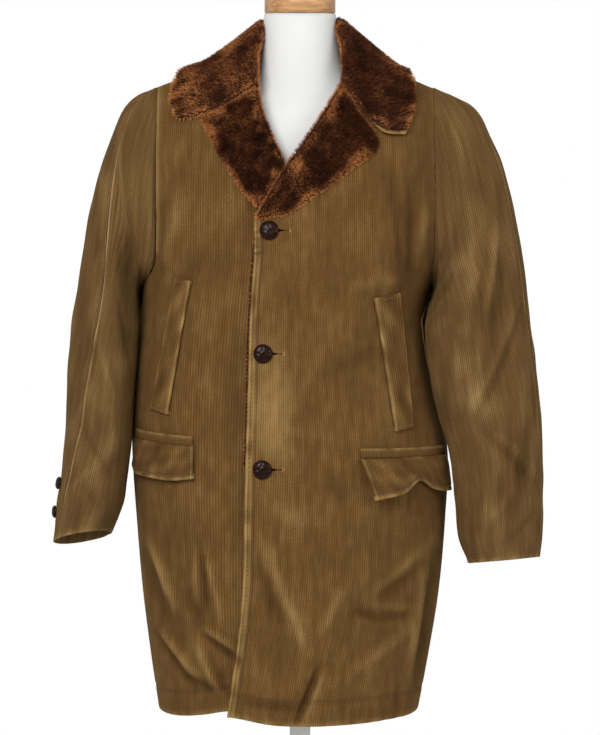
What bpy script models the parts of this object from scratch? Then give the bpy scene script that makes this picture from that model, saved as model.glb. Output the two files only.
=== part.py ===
"""A corduroy car coat with a fur collar, buttoned on a limbless dress form with a floor stand.

Metres, +Z up. The coat faces -Y and the wearer's left is at +X. The origin is on the floor, under
the middle of the part. Every panel is a row-and-column sheet on one of three worked out surfaces
(body, sleeve, collar) with a wall thickness; what lies on a panel is made from the panel's points.
"""

import math
from collections import namedtuple

import bmesh
import bpy
import numpy as np
from mathutils import Matrix
from mathutils import Vector

# Walls and gaps
CLOTH = 0.003
FUR = 0.008
LEAF_CLOTH = 0.0015
SEAM = 0.0003
LYING_GAP = 0.0012
WELT_GAP = 0.0022
EDGE_GAP = 0.0009
ARM_GAP = 0.0009
ARM_SEAM = 0.0017

# Body of the coat
HEM = 0.621
PIT = 1.190
YOKE = 1.230
RIDGE = 1.526
SHOULDER_FALL = {1: 0.40, -1: 0.365}
SQUARE = 2.4
FINE_STEPS = 161
NECK_POINT = 0.071
BACK_NECK = 1.474
ARM_LINE = {1: 0.178, -1: 0.190}
TUCK = 0.0085
TUCK_BEFORE = 0.034
TUCK_RUN = 0.026
BREAK = 1.285

Section = namedtuple("Section", "height right left front back side")
BODY = (
    Section(0.620, 0.190, 0.159, 0.172, 0.165, 0.010),
    Section(0.690, 0.2005, 0.1725, 0.170, 0.163, 0.014),
    Section(0.770, 0.211, 0.186, 0.168, 0.160, 0.020),
    Section(0.875, 0.2204, 0.196, 0.166, 0.158, 0.026),
    Section(0.970, 0.2265, 0.199, 0.163, 0.156, 0.030),
    Section(1.060, 0.2255, 0.1795, 0.160, 0.154, 0.030),
    Section(1.170, 0.2130, 0.1695, 0.154, 0.150, 0.026),
    Section(1.230, 0.208, 0.190, 0.150, 0.147, 0.016),
    Section(1.300, 0.210, 0.201, 0.145, 0.143, 0.004),
    Section(1.360, 0.212, 0.206, 0.143, 0.141, 0.000),
)

# Front edges and roll lines, as seen from the front
Edge = namedtuple("Edge", "height x")
EDGE_LEFT = (
    Edge(0.620, -0.094),
    Edge(0.657, -0.089),
    Edge(0.722, -0.080),
    Edge(0.787, -0.074),
    Edge(0.916, -0.071),
    Edge(1.046, -0.067),
    Edge(1.175, -0.063),
    Edge(1.285, -0.054),
)
EDGE_RIGHT = (
    Edge(0.620, -0.010),
    Edge(1.285, 0.012),
)
ROLL_LEFT = (
    Edge(1.285, -0.054),
    Edge(1.347, -0.018),
    Edge(1.410, 0.025),
    Edge(1.466, 0.058),
    Edge(1.4976, 0.071),
)
ROLL_RIGHT = (
    Edge(1.285, 0.012),
    Edge(1.347, -0.018),
    Edge(1.413, -0.047),
    Edge(1.466, -0.060),
    Edge(1.4976, -0.071),
)

# Largest folds, as lines on the front or back with a width and a height
Fold = namedtuple("Fold", "x1 z1 x2 z2 width height")
FRONT_FOLDS = (
    Fold(-0.200, 0.815, -0.125, 0.640, 0.014, -0.006),
    Fold(-0.130, 0.745, -0.075, 0.708, 0.010, -0.004),
    Fold(-0.116, 0.860, -0.118, 0.720, 0.014, 0.005),
    Fold(0.134, 1.390, 0.132, 1.150, 0.013, 0.007),
    Fold(0.060, 0.768, 0.150, 0.755, 0.011, -0.004),
    Fold(0.186, 0.848, 0.030, 0.780, 0.018, 0.005),
    Fold(0.034, 0.705, -0.008, 0.600, 0.014, -0.006),
    Fold(-0.070, 0.890, 0.004, 0.720, 0.016, 0.004),
)
BACK_FOLDS = (
    Fold(-0.105, 1.080, -0.120, 0.560, 0.030, 0.008),
    Fold(0.012, 1.020, 0.020, 0.560, 0.026, 0.006),
    Fold(0.112, 1.060, 0.118, 0.560, 0.030, 0.008),
    Fold(-0.150, 1.330, -0.060, 1.120, 0.022, 0.006),
    Fold(0.140, 1.340, 0.050, 1.110, 0.022, 0.006),
)

# Sleeves: rings from armhole to cuff between an outer and an inner rail
Ring = namedtuple("Ring", "outer_x outer_z inner_x inner_z middle half_depth pitch")
SLEEVE_LEFT = (
    Ring(0.180, 1.454, 0.178, 1.190, 0.004, 0.080, 0.00),
    Ring(0.234, 1.428, 0.1800, 1.185, 0.006, 0.080, 0.00),
    Ring(0.256, 1.389, 0.1785, 1.177, -0.004, 0.078, 0.00),
    Ring(0.276, 1.334, 0.1740, 1.166, -0.022, 0.074, 0.00),
    Ring(0.288, 1.272, 0.1685, 1.150, -0.040, 0.070, 0.00),
    Ring(0.2975, 1.218, 0.1665, 1.125, -0.051, 0.067, 0.00),
    Ring(0.3055, 1.144, 0.1710, 1.085, -0.056, 0.064, 0.00),
    Ring(0.316, 1.063, 0.1830, 1.025, -0.057, 0.062, 0.00),
    Ring(0.3215, 0.996, 0.1985, 0.970, -0.056, 0.060, 0.02),
    Ring(0.3235, 0.930, 0.206, 0.912, -0.054, 0.058, 0.05),
    Ring(0.3235, 0.870, 0.211, 0.860, -0.052, 0.055, 0.08),
    Ring(0.3200, 0.831, 0.224, 0.822, -0.052, 0.052, 0.10),
)
SLEEVE_RIGHT = (
    Ring(-0.193, 1.457, -0.210, 1.190, 0.004, 0.080, 0.00),
    Ring(-0.229, 1.438, -0.2150, 1.185, 0.006, 0.081, 0.00),
    Ring(-0.250, 1.398, -0.2160, 1.177, -0.002, 0.081, 0.00),
    Ring(-0.266, 1.348, -0.2155, 1.166, -0.016, 0.080, 0.00),
    Ring(-0.280, 1.290, -0.2142, 1.150, -0.032, 0.079, 0.00),
    Ring(-0.290, 1.226, -0.2145, 1.125, -0.043, 0.078, 0.00),
    Ring(-0.301, 1.157, -0.2180, 1.085, -0.048, 0.077, 0.00),
    Ring(-0.308, 1.090, -0.2215, 1.035, -0.050, 0.076, 0.00),
    Ring(-0.3115, 1.010, -0.2255, 0.975, -0.050, 0.073, 0.04),
    Ring(-0.3160, 0.955, -0.2305, 0.935, -0.049, 0.069, 0.08),
    Ring(-0.3230, 0.905, -0.2360, 0.900, -0.048, 0.064, 0.14),
    Ring(-0.3290, 0.850, -0.2520, 0.863, -0.048, 0.058, 0.20),
)
FADE_RINGS = 5.0
Turn = namedtuple("Turn", "ring degrees")
OVERARM = {
    1: (Turn(0, 0), Turn(2, 16), Turn(5, 24), Turn(8, 22), Turn(11, 18)),
    -1: (Turn(0, 0), Turn(1, 22), Turn(2, 44), Turn(4, 76), Turn(7, 72), Turn(9, 50), Turn(11, 40)),
}
UNDERARM = 180.0
Bulge = namedtuple("Bulge", "ring degrees slant along around height")
SLEEVE_FOLDS = {
    1: (
        Bulge(3.6, 95, -14, 1.0, 16, 0.005),
        Bulge(5.4, 70, 18, 1.1, 18, -0.006),
        Bulge(7.0, 105, -16, 0.9, 15, 0.005),
        Bulge(8.6, 60, 14, 0.8, 16, -0.005),
        Bulge(6.0, -90, 12, 1.2, 22, -0.006),
    ),
    -1: (
        Bulge(3.5, 118, 8, 1.6, 16, -0.006),
        Bulge(6.4, 46, 10, 1.3, 15, -0.005),
        Bulge(8.2, 112, -14, 0.9, 16, 0.005),
        Bulge(6.0, -95, 12, 1.2, 22, -0.006),
    ),
}

# Collar stations from the right front end, round the back, to the left front end
Station = namedtuple("Station", "fold_x fold_y fold_z edge_x edge_y edge_z rise bow")
COLLAR = (
    Station(-0.0600, -0.090, 1.461, -0.166, -0.076, 1.413, -0.008, -0.012),
    Station(-0.0630, -0.058, 1.496, -0.175, -0.052, 1.438, 0.000, -0.004),
    Station(-0.0580, -0.012, 1.541, -0.1525, 0.012, 1.480, -0.002, 0.000),
    Station(-0.0490, 0.046, 1.549, -0.110, 0.104, 1.466, 0.006, 0.002),
    Station(0.0000, 0.0685, 1.552, 0.000, 0.146, 1.450, 0.008, 0.004),
    Station(0.0490, 0.046, 1.550, 0.104, 0.104, 1.466, 0.006, 0.002),
    Station(0.0590, -0.012, 1.545, 0.1420, 0.012, 1.481, 0.000, 0.000),
    Station(0.0640, -0.058, 1.496, 0.155, -0.058, 1.440, -0.004, -0.004),
    Station(0.0610, -0.092, 1.459, 0.143, -0.096, 1.402, -0.020, -0.016),
)
COLLAR_CLEAR = 0.0128
COLLAR_CLEAR_SIDE = 0.010
UNDER_GAP = 0.0011
UNDER_FIRST_COLUMN = 2
UNDER_END_ROWS = 1
STAND_FOOT = 1.506
STAND_ENDS = 3.0
STAND_INSET = 0.0010
STAND_DROP = 0.0125
STAND_WALL = 0.0035

# Outer edges of the lapels, as seen from the front
LAPEL_LEFT_EDGE = (
    (-0.054, 1.2835), (-0.024, 1.287), (0.016, 1.311), (0.065, 1.3455), (0.101, 1.380), (0.094, 1.397),
)
LAPEL_RIGHT_EDGE = (
    (-0.0545, 1.2965), (-0.0725, 1.318), (-0.0861, 1.3375), (-0.1033, 1.364), (-0.120, 1.396), (-0.128, 1.409),
)
LAPEL_TOP = 1.447
LAPEL_RIGHT_LOW = 1.352

# Pockets, as seen from the front: corners of the welts, seams of the flaps
Welt = namedtuple("Welt", "top_in top_out low_in low_out")
WELTS = {
    "welt_left": Welt((0.0963, 1.176), (0.1290, 1.183), (0.1236, 1.003), (0.1470, 1.007)),
    "welt_right": Welt((-0.1418, 1.198), (-0.1613, 1.202), (-0.1717, 1.025), (-0.1945, 1.030)),
}
WELT_WALL = 0.0028
Flap = namedtuple("Flap", "side start end_degrees seam_in seam_out")
FLAPS = {
    "left": Flap(1, 0.079, 71.0, 0.970, 0.967),
    "right": Flap(-1, -0.139, -70.0, 0.985, 0.990),
}
Drop = namedtuple("Drop", "across low out shift")
FLAP_DROPS = {
    "left": (
        Drop(0.00, -0.053, 0.020, 0.014),
        Drop(0.25, -0.046, 0.020, 0.008),
        Drop(0.55, -0.031, 0.009, 0.000),
        Drop(0.72, -0.043, 0.009, 0.000),
        Drop(1.00, -0.046, 0.014, 0.000),
    ),
    "right": (
        Drop(0.00, -0.042, 0.009, 0.000),
        Drop(0.20, -0.046, 0.010, 0.000),
        Drop(0.60, -0.047, 0.009, 0.000),
        Drop(1.00, -0.046, 0.009, 0.000),
    ),
}
FLAP_WALL = 0.0035
FLAP_LIFT = 0.005
JET_HEIGHT = 0.011
JET_WALL = 0.0016
FACING_LOW = 0.960
FACING_PEEK = 0.004
FACING_WIDTH = 0.030
FACING_TOP = 1.281

# Buttons
BUTTON_RADIUS = 0.0125
BUTTON_DOME = 0.0062
CUFF_BUTTON_RADIUS = 0.0085
CUFF_BUTTON_DOME = 0.0048
BUTTON_STEPS = 18
CUFF_BUTTON_STEPS = 12
BUTTONS = {
    "button_top": (-0.040, 1.2655),
    "button_middle": (-0.048, 1.1055),
    "button_low": (-0.049, 0.955),
}
CUFF_BUTTON_RINGS = (9.55, 10.3)
CUFF_BUTTON_TURN = {1: -48.0, -1: -32.0}

# Dress form and stand
Form = namedtuple("Form", "height half_width front back")
FORM = (
    Form(0.860, 0.130, 0.095, 0.105),
    Form(0.900, 0.146, 0.112, 0.120),
    Form(0.970, 0.150, 0.116, 0.122),
    Form(1.070, 0.138, 0.112, 0.112),
    Form(1.180, 0.140, 0.116, 0.116),
    Form(1.290, 0.152, 0.118, 0.118),
    Form(1.370, 0.158, 0.106, 0.108),
    Form(1.405, 0.152, 0.094, 0.096),
    Form(1.428, 0.134, 0.082, 0.086),
    Form(1.446, 0.098, 0.070, 0.074),
    Form(1.462, 0.072, 0.060, 0.064),
    Form(1.480, 0.0600, 0.053, 0.057),
    Form(1.503, 0.0540, 0.048, 0.055),
    Form(1.530, 0.0500, 0.045, 0.054),
    Form(1.5535, 0.0480, 0.043, 0.053),
)
NECK_SETBACK = 0.005
CAP_RADIUS = 0.0475
CAP_HEIGHT = 0.030
CAP_ROUND = 0.010
CAP_CHAMFER = 0.002
FORM_STEPS = 28
CAP_STEPS = 36
POLE_STEPS = 24
BASE_STEPS = 64
POLE_RADIUS = 0.014
BASE_RADIUS = 0.205
BASE_HEIGHT = 0.012
BASE_BEVEL = 0.003
CENTRE = 0.0031

COLOURS = {
    "corduroy": ((0.139, 0.072, 0.023), 0.9, 0.0),
    "fur": ((0.060, 0.019, 0.008), 0.85, 0.0),
    "leather": ((0.030, 0.012, 0.009), 0.35, 0.0),
    "jersey": ((0.86, 0.85, 0.83), 0.85, 0.0),
    "wood": ((0.56, 0.31, 0.14), 0.4, 0.0),
    "steel": ((0.62, 0.62, 0.64), 0.3, 1.0),
}


def clear_scene():
    """Takes every object out of the scene, so that the script can run again."""
    for item in list(bpy.data.objects):
        bpy.data.objects.remove(item, do_unlink=True)


def smooth(knots, values, at):
    """Reads a smooth curve through the values at the knots."""
    knots = np.asarray(knots, float)
    values = np.asarray(values, float)
    at = np.clip(np.asarray(at, float), knots[0], knots[-1])
    slopes = np.gradient(values, knots)
    i = np.clip(np.searchsorted(knots, at, side="right") - 1, 0, len(knots) - 2)
    width = knots[i + 1] - knots[i]
    t = (at - knots[i]) / width
    start = (2 * t**3 - 3 * t**2 + 1) * values[i] + (t**3 - 2 * t**2 + t) * width * slopes[i]
    end = (3 * t**2 - 2 * t**3) * values[i + 1] + (t**3 - t**2) * width * slopes[i + 1]
    return start + end


def read(table, column, at):
    """Reads a column of a table at any value of its first column."""
    return smooth([row[0] for row in table], [getattr(row, column) for row in table], at)


def read_row(table, column, index):
    """Reads a column of a table at any row number, also between rows."""
    return smooth(range(len(table)), [getattr(row, column) for row in table], index)


def ease(t):
    """Goes from 0 to 1 with level ends."""
    t = np.clip(t, 0.0, 1.0)
    return t * t * (3 - 2 * t)


def fold_height(table, x, z):
    """Adds up the folds of a table at a place seen from the front or back."""
    total = np.zeros(np.broadcast(x, z).shape)
    for fold in table:
        run = np.array([fold.x2 - fold.x1, fold.z2 - fold.z1])
        length = math.hypot(*run)
        along = ((x - fold.x1) * run[0] + (z - fold.z1) * run[1]) / length**2
        across = ((x - fold.x1) * run[1] - (z - fold.z1) * run[0]) / length
        taper = np.sin(math.pi * np.clip(along, 0, 1)) ** 0.7
        total = total + fold.height * taper * np.exp(-((across / fold.width) ** 2))
    return total


def width_at(z):
    """Middle and half width of the body at a height."""
    right = read(BODY, "right", z)
    left = read(BODY, "left", z)
    return (left - right) / 2, (left + right) / 2


def shoulder_line(x):
    """Height of the shoulder seam over a place across the body."""
    return RIDGE - np.where(x > 0, SHOULDER_FALL[1], SHOULDER_FALL[-1]) * np.abs(x)


def wall_y(x, z, back=False):
    """Depth of the body's outer face at a place seen from the front or back."""
    middle, half = width_at(z)
    share = np.clip(np.abs(x - middle) / half, 0, 1)
    side = read(BODY, "side", z)
    depth = read(BODY, "back", z) - side if back else read(BODY, "front", z) + side
    up = np.sqrt(1 - np.clip((z - YOKE) / (shoulder_line(x) - YOKE), 0, 1) ** 2)
    depth = depth * (1 - share**SQUARE) ** (1 / SQUARE) * up
    raised = fold_height(BACK_FOLDS if back else FRONT_FOLDS, x, z)
    depth = depth + raised * ease((1 - share) / 0.25)
    return side * up + (depth if back else -depth)


def x_at(angle, z):
    """Place across the body of an angle, 0 at the middle and 90 degrees at the side seams."""
    middle, half = width_at(z)
    s = np.sin(angle)
    return middle + half * np.sign(s) * np.abs(s) ** (2 / SQUARE)


def angle_at(x, z):
    """Angle of a place across the body."""
    middle, half = width_at(z)
    share = np.clip((x - middle) / half, -1, 1)
    return np.arcsin(np.sign(share) * np.abs(share) ** (SQUARE / 2))


def lying_on_front(angle, z, lift):
    """Points on the front of the body, moved out along its normal."""
    step = 0.002
    point = front_point(angle, z)
    along = front_point(angle + step, z) - front_point(angle - step, z)
    up = front_point(angle, z + step) - front_point(angle, z - step)
    normal = np.cross(along, up)
    normal = normal / np.linalg.norm(normal, axis=-1, keepdims=True)
    return point + normal * np.asarray(lift)[..., None]


def front_point(angle, z):
    """A point on the front of the body."""
    x = x_at(angle, z)
    return np.stack(np.broadcast_arrays(x, wall_y(x, z), z), axis=-1)


def level_angles(z, first, last, shares, back=False):
    """Angles along a level line of the body, spaced evenly by length of cloth."""
    fine = np.linspace(first, last, FINE_STEPS)
    x = x_at(fine, z)
    y = wall_y(x, z, back)
    length = np.concatenate([[0], np.cumsum(np.hypot(np.diff(x), np.diff(y)))])
    return np.interp(np.asarray(shares) * length[-1], length, fine)


def share_of(x, z, first, last, back=False):
    """Share of a level line's length at which it passes x."""
    fine = np.linspace(first, last, FINE_STEPS)
    xs = x_at(fine, z)
    ys = wall_y(xs, z, back)
    length = np.concatenate([[0], np.cumsum(np.hypot(np.diff(xs), np.diff(ys)))])
    order = np.argsort(xs)
    return float(np.interp(x, xs[order], length[order]) / length[-1])


def pit_row(shares, arm_share):
    """Height of the yoke line, which drops round the armhole to the side seam."""
    past = np.clip((1 - shares) / (1 - arm_share), 0, 1)
    drop = YOKE - PIT
    return np.where(shares <= arm_share, YOKE, PIT + drop * (1 - np.sqrt(1 - past**2)))


def spaced(*runs):
    """Joins runs of evenly spaced numbers, each given as start, end and count."""
    parts = [np.linspace(start, end, count + 1)[1:] for start, end, count in runs]
    return np.concatenate([[runs[0][0]], *parts])


FRONTS = {1: (EDGE_LEFT, ROLL_LEFT), -1: (EDGE_RIGHT, ROLL_RIGHT)}
HEM_LIFT = {1: 0.0105, -1: 0.016}
HEM_CORNER = 0.045
HEM_UNDER = 0.120
HEM_SIDE = 0.003
FRONT_COLUMNS = (7, 5, 4)
BACK_COLUMNS = (4, 4, 6)
SKIRT_ROWS = 19
YOKE_ROWS = 7
SIDE_SEAM = math.pi / 2 - 0.0006


def front_shares(side):
    """Shares of a front's yoke line at its neck point and at its armhole."""
    first = angle_at(read(FRONTS[side][0], "x", YOKE), YOKE)
    last = side * SIDE_SEAM
    neck = share_of(side * NECK_POINT, YOKE, first, last)
    arm = share_of(side * ARM_LINE[side], YOKE, first, last)
    return neck, arm


def tuck_in(x, z):
    """How far the under front lies behind the other one."""
    edge = np.where(z < BREAK, read(EDGE_LEFT, "x", z), read(ROLL_LEFT, "x", z))
    return TUCK * ease((x - edge + TUCK_BEFORE) / TUCK_RUN)


def yoke_rows(x, top, back=False):
    """Rows of points from the yoke line up to the given heights, closer where the wall leans over."""
    ridge = shoulder_line(x)
    reach = np.arcsin(np.clip((top - YOKE) / (ridge - YOKE), 0, 1))
    rows = []
    for level in np.linspace(0, 1, YOKE_ROWS + 1):
        z = YOKE + (ridge - YOKE) * np.sin(reach * level)
        part = EDGE_GAP * level if back else -EDGE_GAP * level
        rows.append(np.stack([x, wall_y(x, z, back) + part, z], axis=-1))
    return np.array(rows)


def front_hem(side, x):
    """Height of a front's hem, which lifts at the front corner and under the other front."""
    if side > 0:
        corner = np.exp(-(((x - EDGE_LEFT[0].x) / HEM_CORNER) ** 2))
        return HEM + HEM_LIFT[1] * corner + HEM_SIDE * ease(x / BODY[0].left)
    return HEM + HEM_SIDE + HEM_LIFT[-1] * ease((x + BODY[0].right) / HEM_UNDER)


def front_sheet(side):
    """Skirt and yoke of one front: rows across the cloth, columns up it."""
    edge, roll = FRONTS[side]
    neck_share, arm_share = front_shares(side)
    shares = spaced(
        (0, neck_share, FRONT_COLUMNS[0]),
        (neck_share, arm_share, FRONT_COLUMNS[1]),
        (arm_share, 1, FRONT_COLUMNS[2]),
    )
    skirt = []
    for level in np.linspace(0, 1, SKIRT_ROWS + 1):
        flat = HEM + (YOKE - HEM) * level
        first = angle_at(read(edge, "x", flat), flat)
        angles = level_angles(flat, first, side * SIDE_SEAM, shares)
        hem = front_hem(side, x_at(angles, flat))
        skirt.append(front_point(angles, hem + (pit_row(shares, arm_share) - hem) * level))
    skirt = np.array(skirt)
    x = skirt[-1, : FRONT_COLUMNS[0] + FRONT_COLUMNS[1] + 1, 0]
    roll_top = np.interp(side * x, [side * row.x for row in roll], [row.height for row in roll])
    top = np.where(side * x < NECK_POINT, np.minimum(roll_top, shoulder_line(x)), shoulder_line(x))
    yoke = yoke_rows(x, top)
    if side < 0:
        for block in (skirt, yoke):
            block[..., 1] += tuck_in(block[..., 0], block[..., 2])
    return skirt, yoke


def back_sheet():
    """Skirt and yoke of the back, from the right side seam to the left one."""
    shares_left = back_arm_share(1)
    shares_right = back_arm_share(-1)
    neck_left = back_share(NECK_POINT)
    neck_right = back_share(-NECK_POINT)
    shares = spaced(
        (0, shares_right, BACK_COLUMNS[0]),
        (shares_right, neck_right, BACK_COLUMNS[1]),
        (neck_right, neck_left, BACK_COLUMNS[2]),
        (neck_left, shares_left, BACK_COLUMNS[1]),
        (shares_left, 1, BACK_COLUMNS[0]),
    )
    skirt = []
    for level in np.linspace(0, 1, SKIRT_ROWS + 1):
        flat = HEM + (YOKE - HEM) * level
        angles = level_angles(flat, -SIDE_SEAM, SIDE_SEAM, shares, back=True)
        half = np.abs(2 * shares - 1)
        row = np.where(shares < 0.5, pit_row(half, 1 - 2 * shares_right), pit_row(half, 2 * shares_left - 1))
        skirt.append(back_point(angles, HEM + HEM_SIDE + (row - HEM - HEM_SIDE) * level))
    skirt = np.array(skirt)
    x = skirt[-1, BACK_COLUMNS[0] : -BACK_COLUMNS[0], 0]
    ridge = shoulder_line(x)
    dip = BACK_NECK + (shoulder_line(NECK_POINT) - BACK_NECK) * (x / NECK_POINT) ** 4
    top = np.where(np.abs(x) < NECK_POINT, np.minimum(dip, ridge), ridge)
    return skirt, yoke_rows(x, top, back=True)


def back_point(angle, z):
    """A point on the back of the body."""
    x = x_at(angle, z)
    return np.stack(np.broadcast_arrays(x, wall_y(x, z, True), z), axis=-1)


def back_share(x):
    """Share of the back's yoke line at which it passes x."""
    return share_of(x, YOKE, -SIDE_SEAM, SIDE_SEAM, back=True)


def back_arm_share(side):
    """Share of the back's yoke line at an armhole."""
    return back_share(side * ARM_LINE[side])


SLEEVES = {1: SLEEVE_LEFT, -1: SLEEVE_RIGHT}
LAST_RING = len(SLEEVE_LEFT) - 1
SLEEVE_ROWS = 18


def armhole_half(side, back):
    """The edge of a front or back at an armhole, from the shoulder seam down to the side seam."""
    if back:
        skirt, yoke = back_sheet()
        arm = -1 - BACK_COLUMNS[0] if side > 0 else BACK_COLUMNS[0]
        upper = yoke[::-1, -1 if side > 0 else 0]
        lower = skirt[-1, arm:] if side > 0 else skirt[-1, : arm + 1][::-1]
    else:
        skirt, yoke = front_sheet(side)
        upper = yoke[::-1, -1]
        lower = skirt[-1, -1 - FRONT_COLUMNS[2] :]
    return np.concatenate([upper, lower[1:]])


def length_along(line):
    """Length from the start of a line to each of its points."""
    return np.concatenate([[0], np.cumsum(np.linalg.norm(np.diff(line, axis=0), axis=1))])


ARMHOLES = {(side, back): armhole_half(side, back) for side in (1, -1) for back in (False, True)}


def armhole(side, degrees):
    """Points of an armhole: 0 at the shoulder, 180 at the side seam, positive round the front."""
    points = np.zeros((len(degrees), 3))
    for back in (False, True):
        line = ARMHOLES[side, back]
        length = length_along(line)
        chosen = (degrees < 0) if back else (degrees >= 0)
        at = np.abs(degrees[chosen]) / 180.0 * length[-1]
        for axis in range(3):
            points[chosen, axis] = np.interp(at, length, line[:, axis])
    return points


def plain_ring(table, ring, degrees):
    """An oval between the rails of a sleeve."""
    turn = np.radians(degrees)
    outer = np.array([read_row(table, "outer_x", ring), read_row(table, "outer_z", ring)])
    inner = np.array([read_row(table, "inner_x", ring), read_row(table, "inner_z", ring)])
    middle = (outer + inner) / 2
    half = (outer - inner) / 2
    depth = read_row(table, "half_depth", ring) * np.sin(turn)
    y = read_row(table, "middle", ring) - depth
    z = middle[1] + half[1] * np.cos(turn) + read_row(table, "pitch", ring) * depth
    return np.stack([middle[0] + half[0] * np.cos(turn), y, z], axis=-1)


def ring_middle(table, ring):
    """The middle of a sleeve's ring."""
    return plain_ring(table, ring, np.array([0.0, 180.0])).mean(axis=0)


def sleeve_ring(side, ring, degrees):
    """A ring of a sleeve, which starts as the armhole and turns into an oval, with its folds."""
    degrees = np.asarray(degrees, float)
    table = SLEEVES[side]
    points = plain_ring(table, ring, degrees)
    fade = (1 - min(ring / FADE_RINGS, 1.0)) ** 2
    points = points + fade * (armhole(side, degrees) - plain_ring(table, 0, degrees))
    out = points - ring_middle(table, ring)
    out = out / np.linalg.norm(out, axis=1, keepdims=True)
    for fold in SLEEVE_FOLDS[side]:
        past = (ring - fold.ring) / fold.along
        around = (degrees - fold.degrees - fold.slant * past) / fold.around
        points = points + out * (fold.height * math.exp(-(past**2)) * np.exp(-(around**2)))[:, None]
    points[:, 0] += side * ARM_GAP * (1 - min(ring, 1.0))
    return points


def overarm(side, ring):
    """Angle of the seam along the arm at a ring."""
    return float(read(OVERARM[side], "degrees", ring))


def sleeve_sheet(side, back):
    """Half of a sleeve between the seam along the arm and the seam under it."""
    corners = length_along(ARMHOLES[side, back])
    shares = corners / corners[-1]
    rows = []
    for ring in np.linspace(0, LAST_RING, SLEEVE_ROWS + 1):
        fine = np.linspace(-180.0, 180.0, FINE_STEPS)
        gap = ARM_SEAM / length_along(sleeve_ring(side, ring, fine))[-1] * 360.0
        seam = overarm(side, ring)
        start = gap - seam if back else gap + seam
        degrees = start + (UNDERARM - gap - start) * shares
        rows.append(sleeve_ring(side, ring, -degrees if back else degrees))
    return np.array(rows)


def lying(points, lift):
    """Puts places seen from the front on the front of the body, moved out."""
    x = points[..., 0]
    z = points[..., 1]
    return lying_on_front(angle_at(x, z), z, lift)


def along_line(line, shares):
    """Points at shares of the length of a line seen from the front."""
    line = np.asarray(line, float)
    knots = np.concatenate([[0], np.cumsum(np.linalg.norm(np.diff(line, axis=0), axis=1))])
    at = np.asarray(shares) * knots[-1]
    return np.stack([smooth(knots, line[:, axis], at) for axis in range(2)], axis=-1)


LAPEL_ROWS = 12
LAPEL_COLUMNS = 6


def roll_line(roll, low, high):
    """The stretch of a roll line between two heights, as seen from the front."""
    heights = np.linspace(low, high, 9)
    return np.stack([read(roll, "x", heights), heights], axis=-1)


def lapel_sheet(roll, edge, low):
    """A lapel from its roll line to its outer edge, rounded at the edge."""
    shares = np.linspace(0, 1, LAPEL_ROWS + 1)
    inner = along_line(roll_line(roll, low, LAPEL_TOP), shares)
    outer = along_line(edge, shares)
    across = np.linspace(0, 1, LAPEL_COLUMNS + 1)
    places = inner[:, None] + (outer - inner)[:, None] * across[None, :, None]
    return lying(places, np.full(places.shape[:2], LYING_GAP + FUR))


COLLAR_ROWS = 24
COLLAR_COLUMNS = 6
STAND_ROWS = 10
STAND_COLUMNS = 2


def collar_sheet():
    """The leaf of the collar from its fold to its edge."""
    across = np.linspace(0, 1, COLLAR_COLUMNS + 1)
    rows = []
    for station in np.linspace(0, len(COLLAR) - 1, COLLAR_ROWS + 1):
        fold = np.array([read_row(COLLAR, "fold_" + axis, station) for axis in "xyz"])
        edge = np.array([read_row(COLLAR, "edge_" + axis, station) for axis in "xyz"])
        row = fold + (edge - fold) * across[:, None]
        row[:, 1] += read_row(COLLAR, "bow", station) * np.sin(math.pi * across)
        row[:, 2] += read_row(COLLAR, "rise", station) * np.sin(math.pi * across)
        rows.append(row)
    return clear_of_body(np.array(rows))


def clear_of_body(rows):
    """Moves points out from the shoulders where they would lie closer than the leaf is thick."""
    x = rows[..., 0]
    y = rows[..., 1]
    z = rows[..., 2]
    for _ in range(4):
        middle, half = width_at(z)
        share = np.clip(np.abs(x - middle) / half, 0, 1)
        depth = np.where(y < 0, read(BODY, "front", z), read(BODY, "back", z))
        clear = COLLAR_CLEAR + COLLAR_CLEAR_SIDE * share**4
        depth = depth * (1 - share**SQUARE) ** (1 / SQUARE) + clear
        rise = shoulder_line(x) - YOKE + clear
        inside = np.clip(1 - (y / depth) ** 2 - ((z - YOKE) / rise) ** 2, 0, None)
        slope_y = 2 * y / depth**2
        slope_z = 2 * (z - YOKE) / rise**2
        step = inside / (slope_y**2 + slope_z**2)
        y = y + step * slope_y
        z = z + step * slope_z
    return np.stack([x, y, z], axis=-1)


def moved_in(rows, drop):
    """Moves a sheet of points along its normals, away from its upper side."""
    along = np.gradient(rows, axis=0)
    across = np.gradient(rows, axis=1)
    normal = np.cross(along, across)
    normal = normal / np.linalg.norm(normal, axis=-1, keepdims=True)
    return rows - normal * drop


def stand_sheet():
    """The band inside the collar, from the back neckline up to the fold."""
    rows = []
    for station in np.linspace(STAND_ENDS, len(COLLAR) - 1 - STAND_ENDS, STAND_ROWS + 1):
        fold = np.array([read_row(COLLAR, "fold_" + axis, station) for axis in "xyz"])
        inward = np.array([-fold[0], -fold[1], 0.0])
        inward = inward / np.linalg.norm(inward)
        top = fold + inward * STAND_INSET - np.array([0, 0, STAND_DROP])
        foot = np.array([top[0], top[1], STAND_FOOT])
        rows.append([foot + (top - foot) * share for share in np.linspace(0, 1, STAND_COLUMNS + 1)])
    return np.array(rows)


WELT_ROWS = 10
WELT_COLUMNS = 3


def welt_sheet(welt):
    """A slanted band on a front, between its four corners."""
    down = np.linspace(0, 1, WELT_ROWS + 1)[:, None, None]
    over = np.linspace(0, 1, WELT_COLUMNS + 1)[None, :, None]
    top = np.array(welt.top_in) + (np.array(welt.top_out) - np.array(welt.top_in)) * over
    low = np.array(welt.low_in) + (np.array(welt.low_out) - np.array(welt.low_in)) * over
    places = top + (low - top) * down
    return lying(places, np.full(places.shape[:2], WELT_GAP + WELT_WALL))


FLAP_COLUMNS = 14
FLAP_ROWS = 6
JET_ROWS = 2


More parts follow.
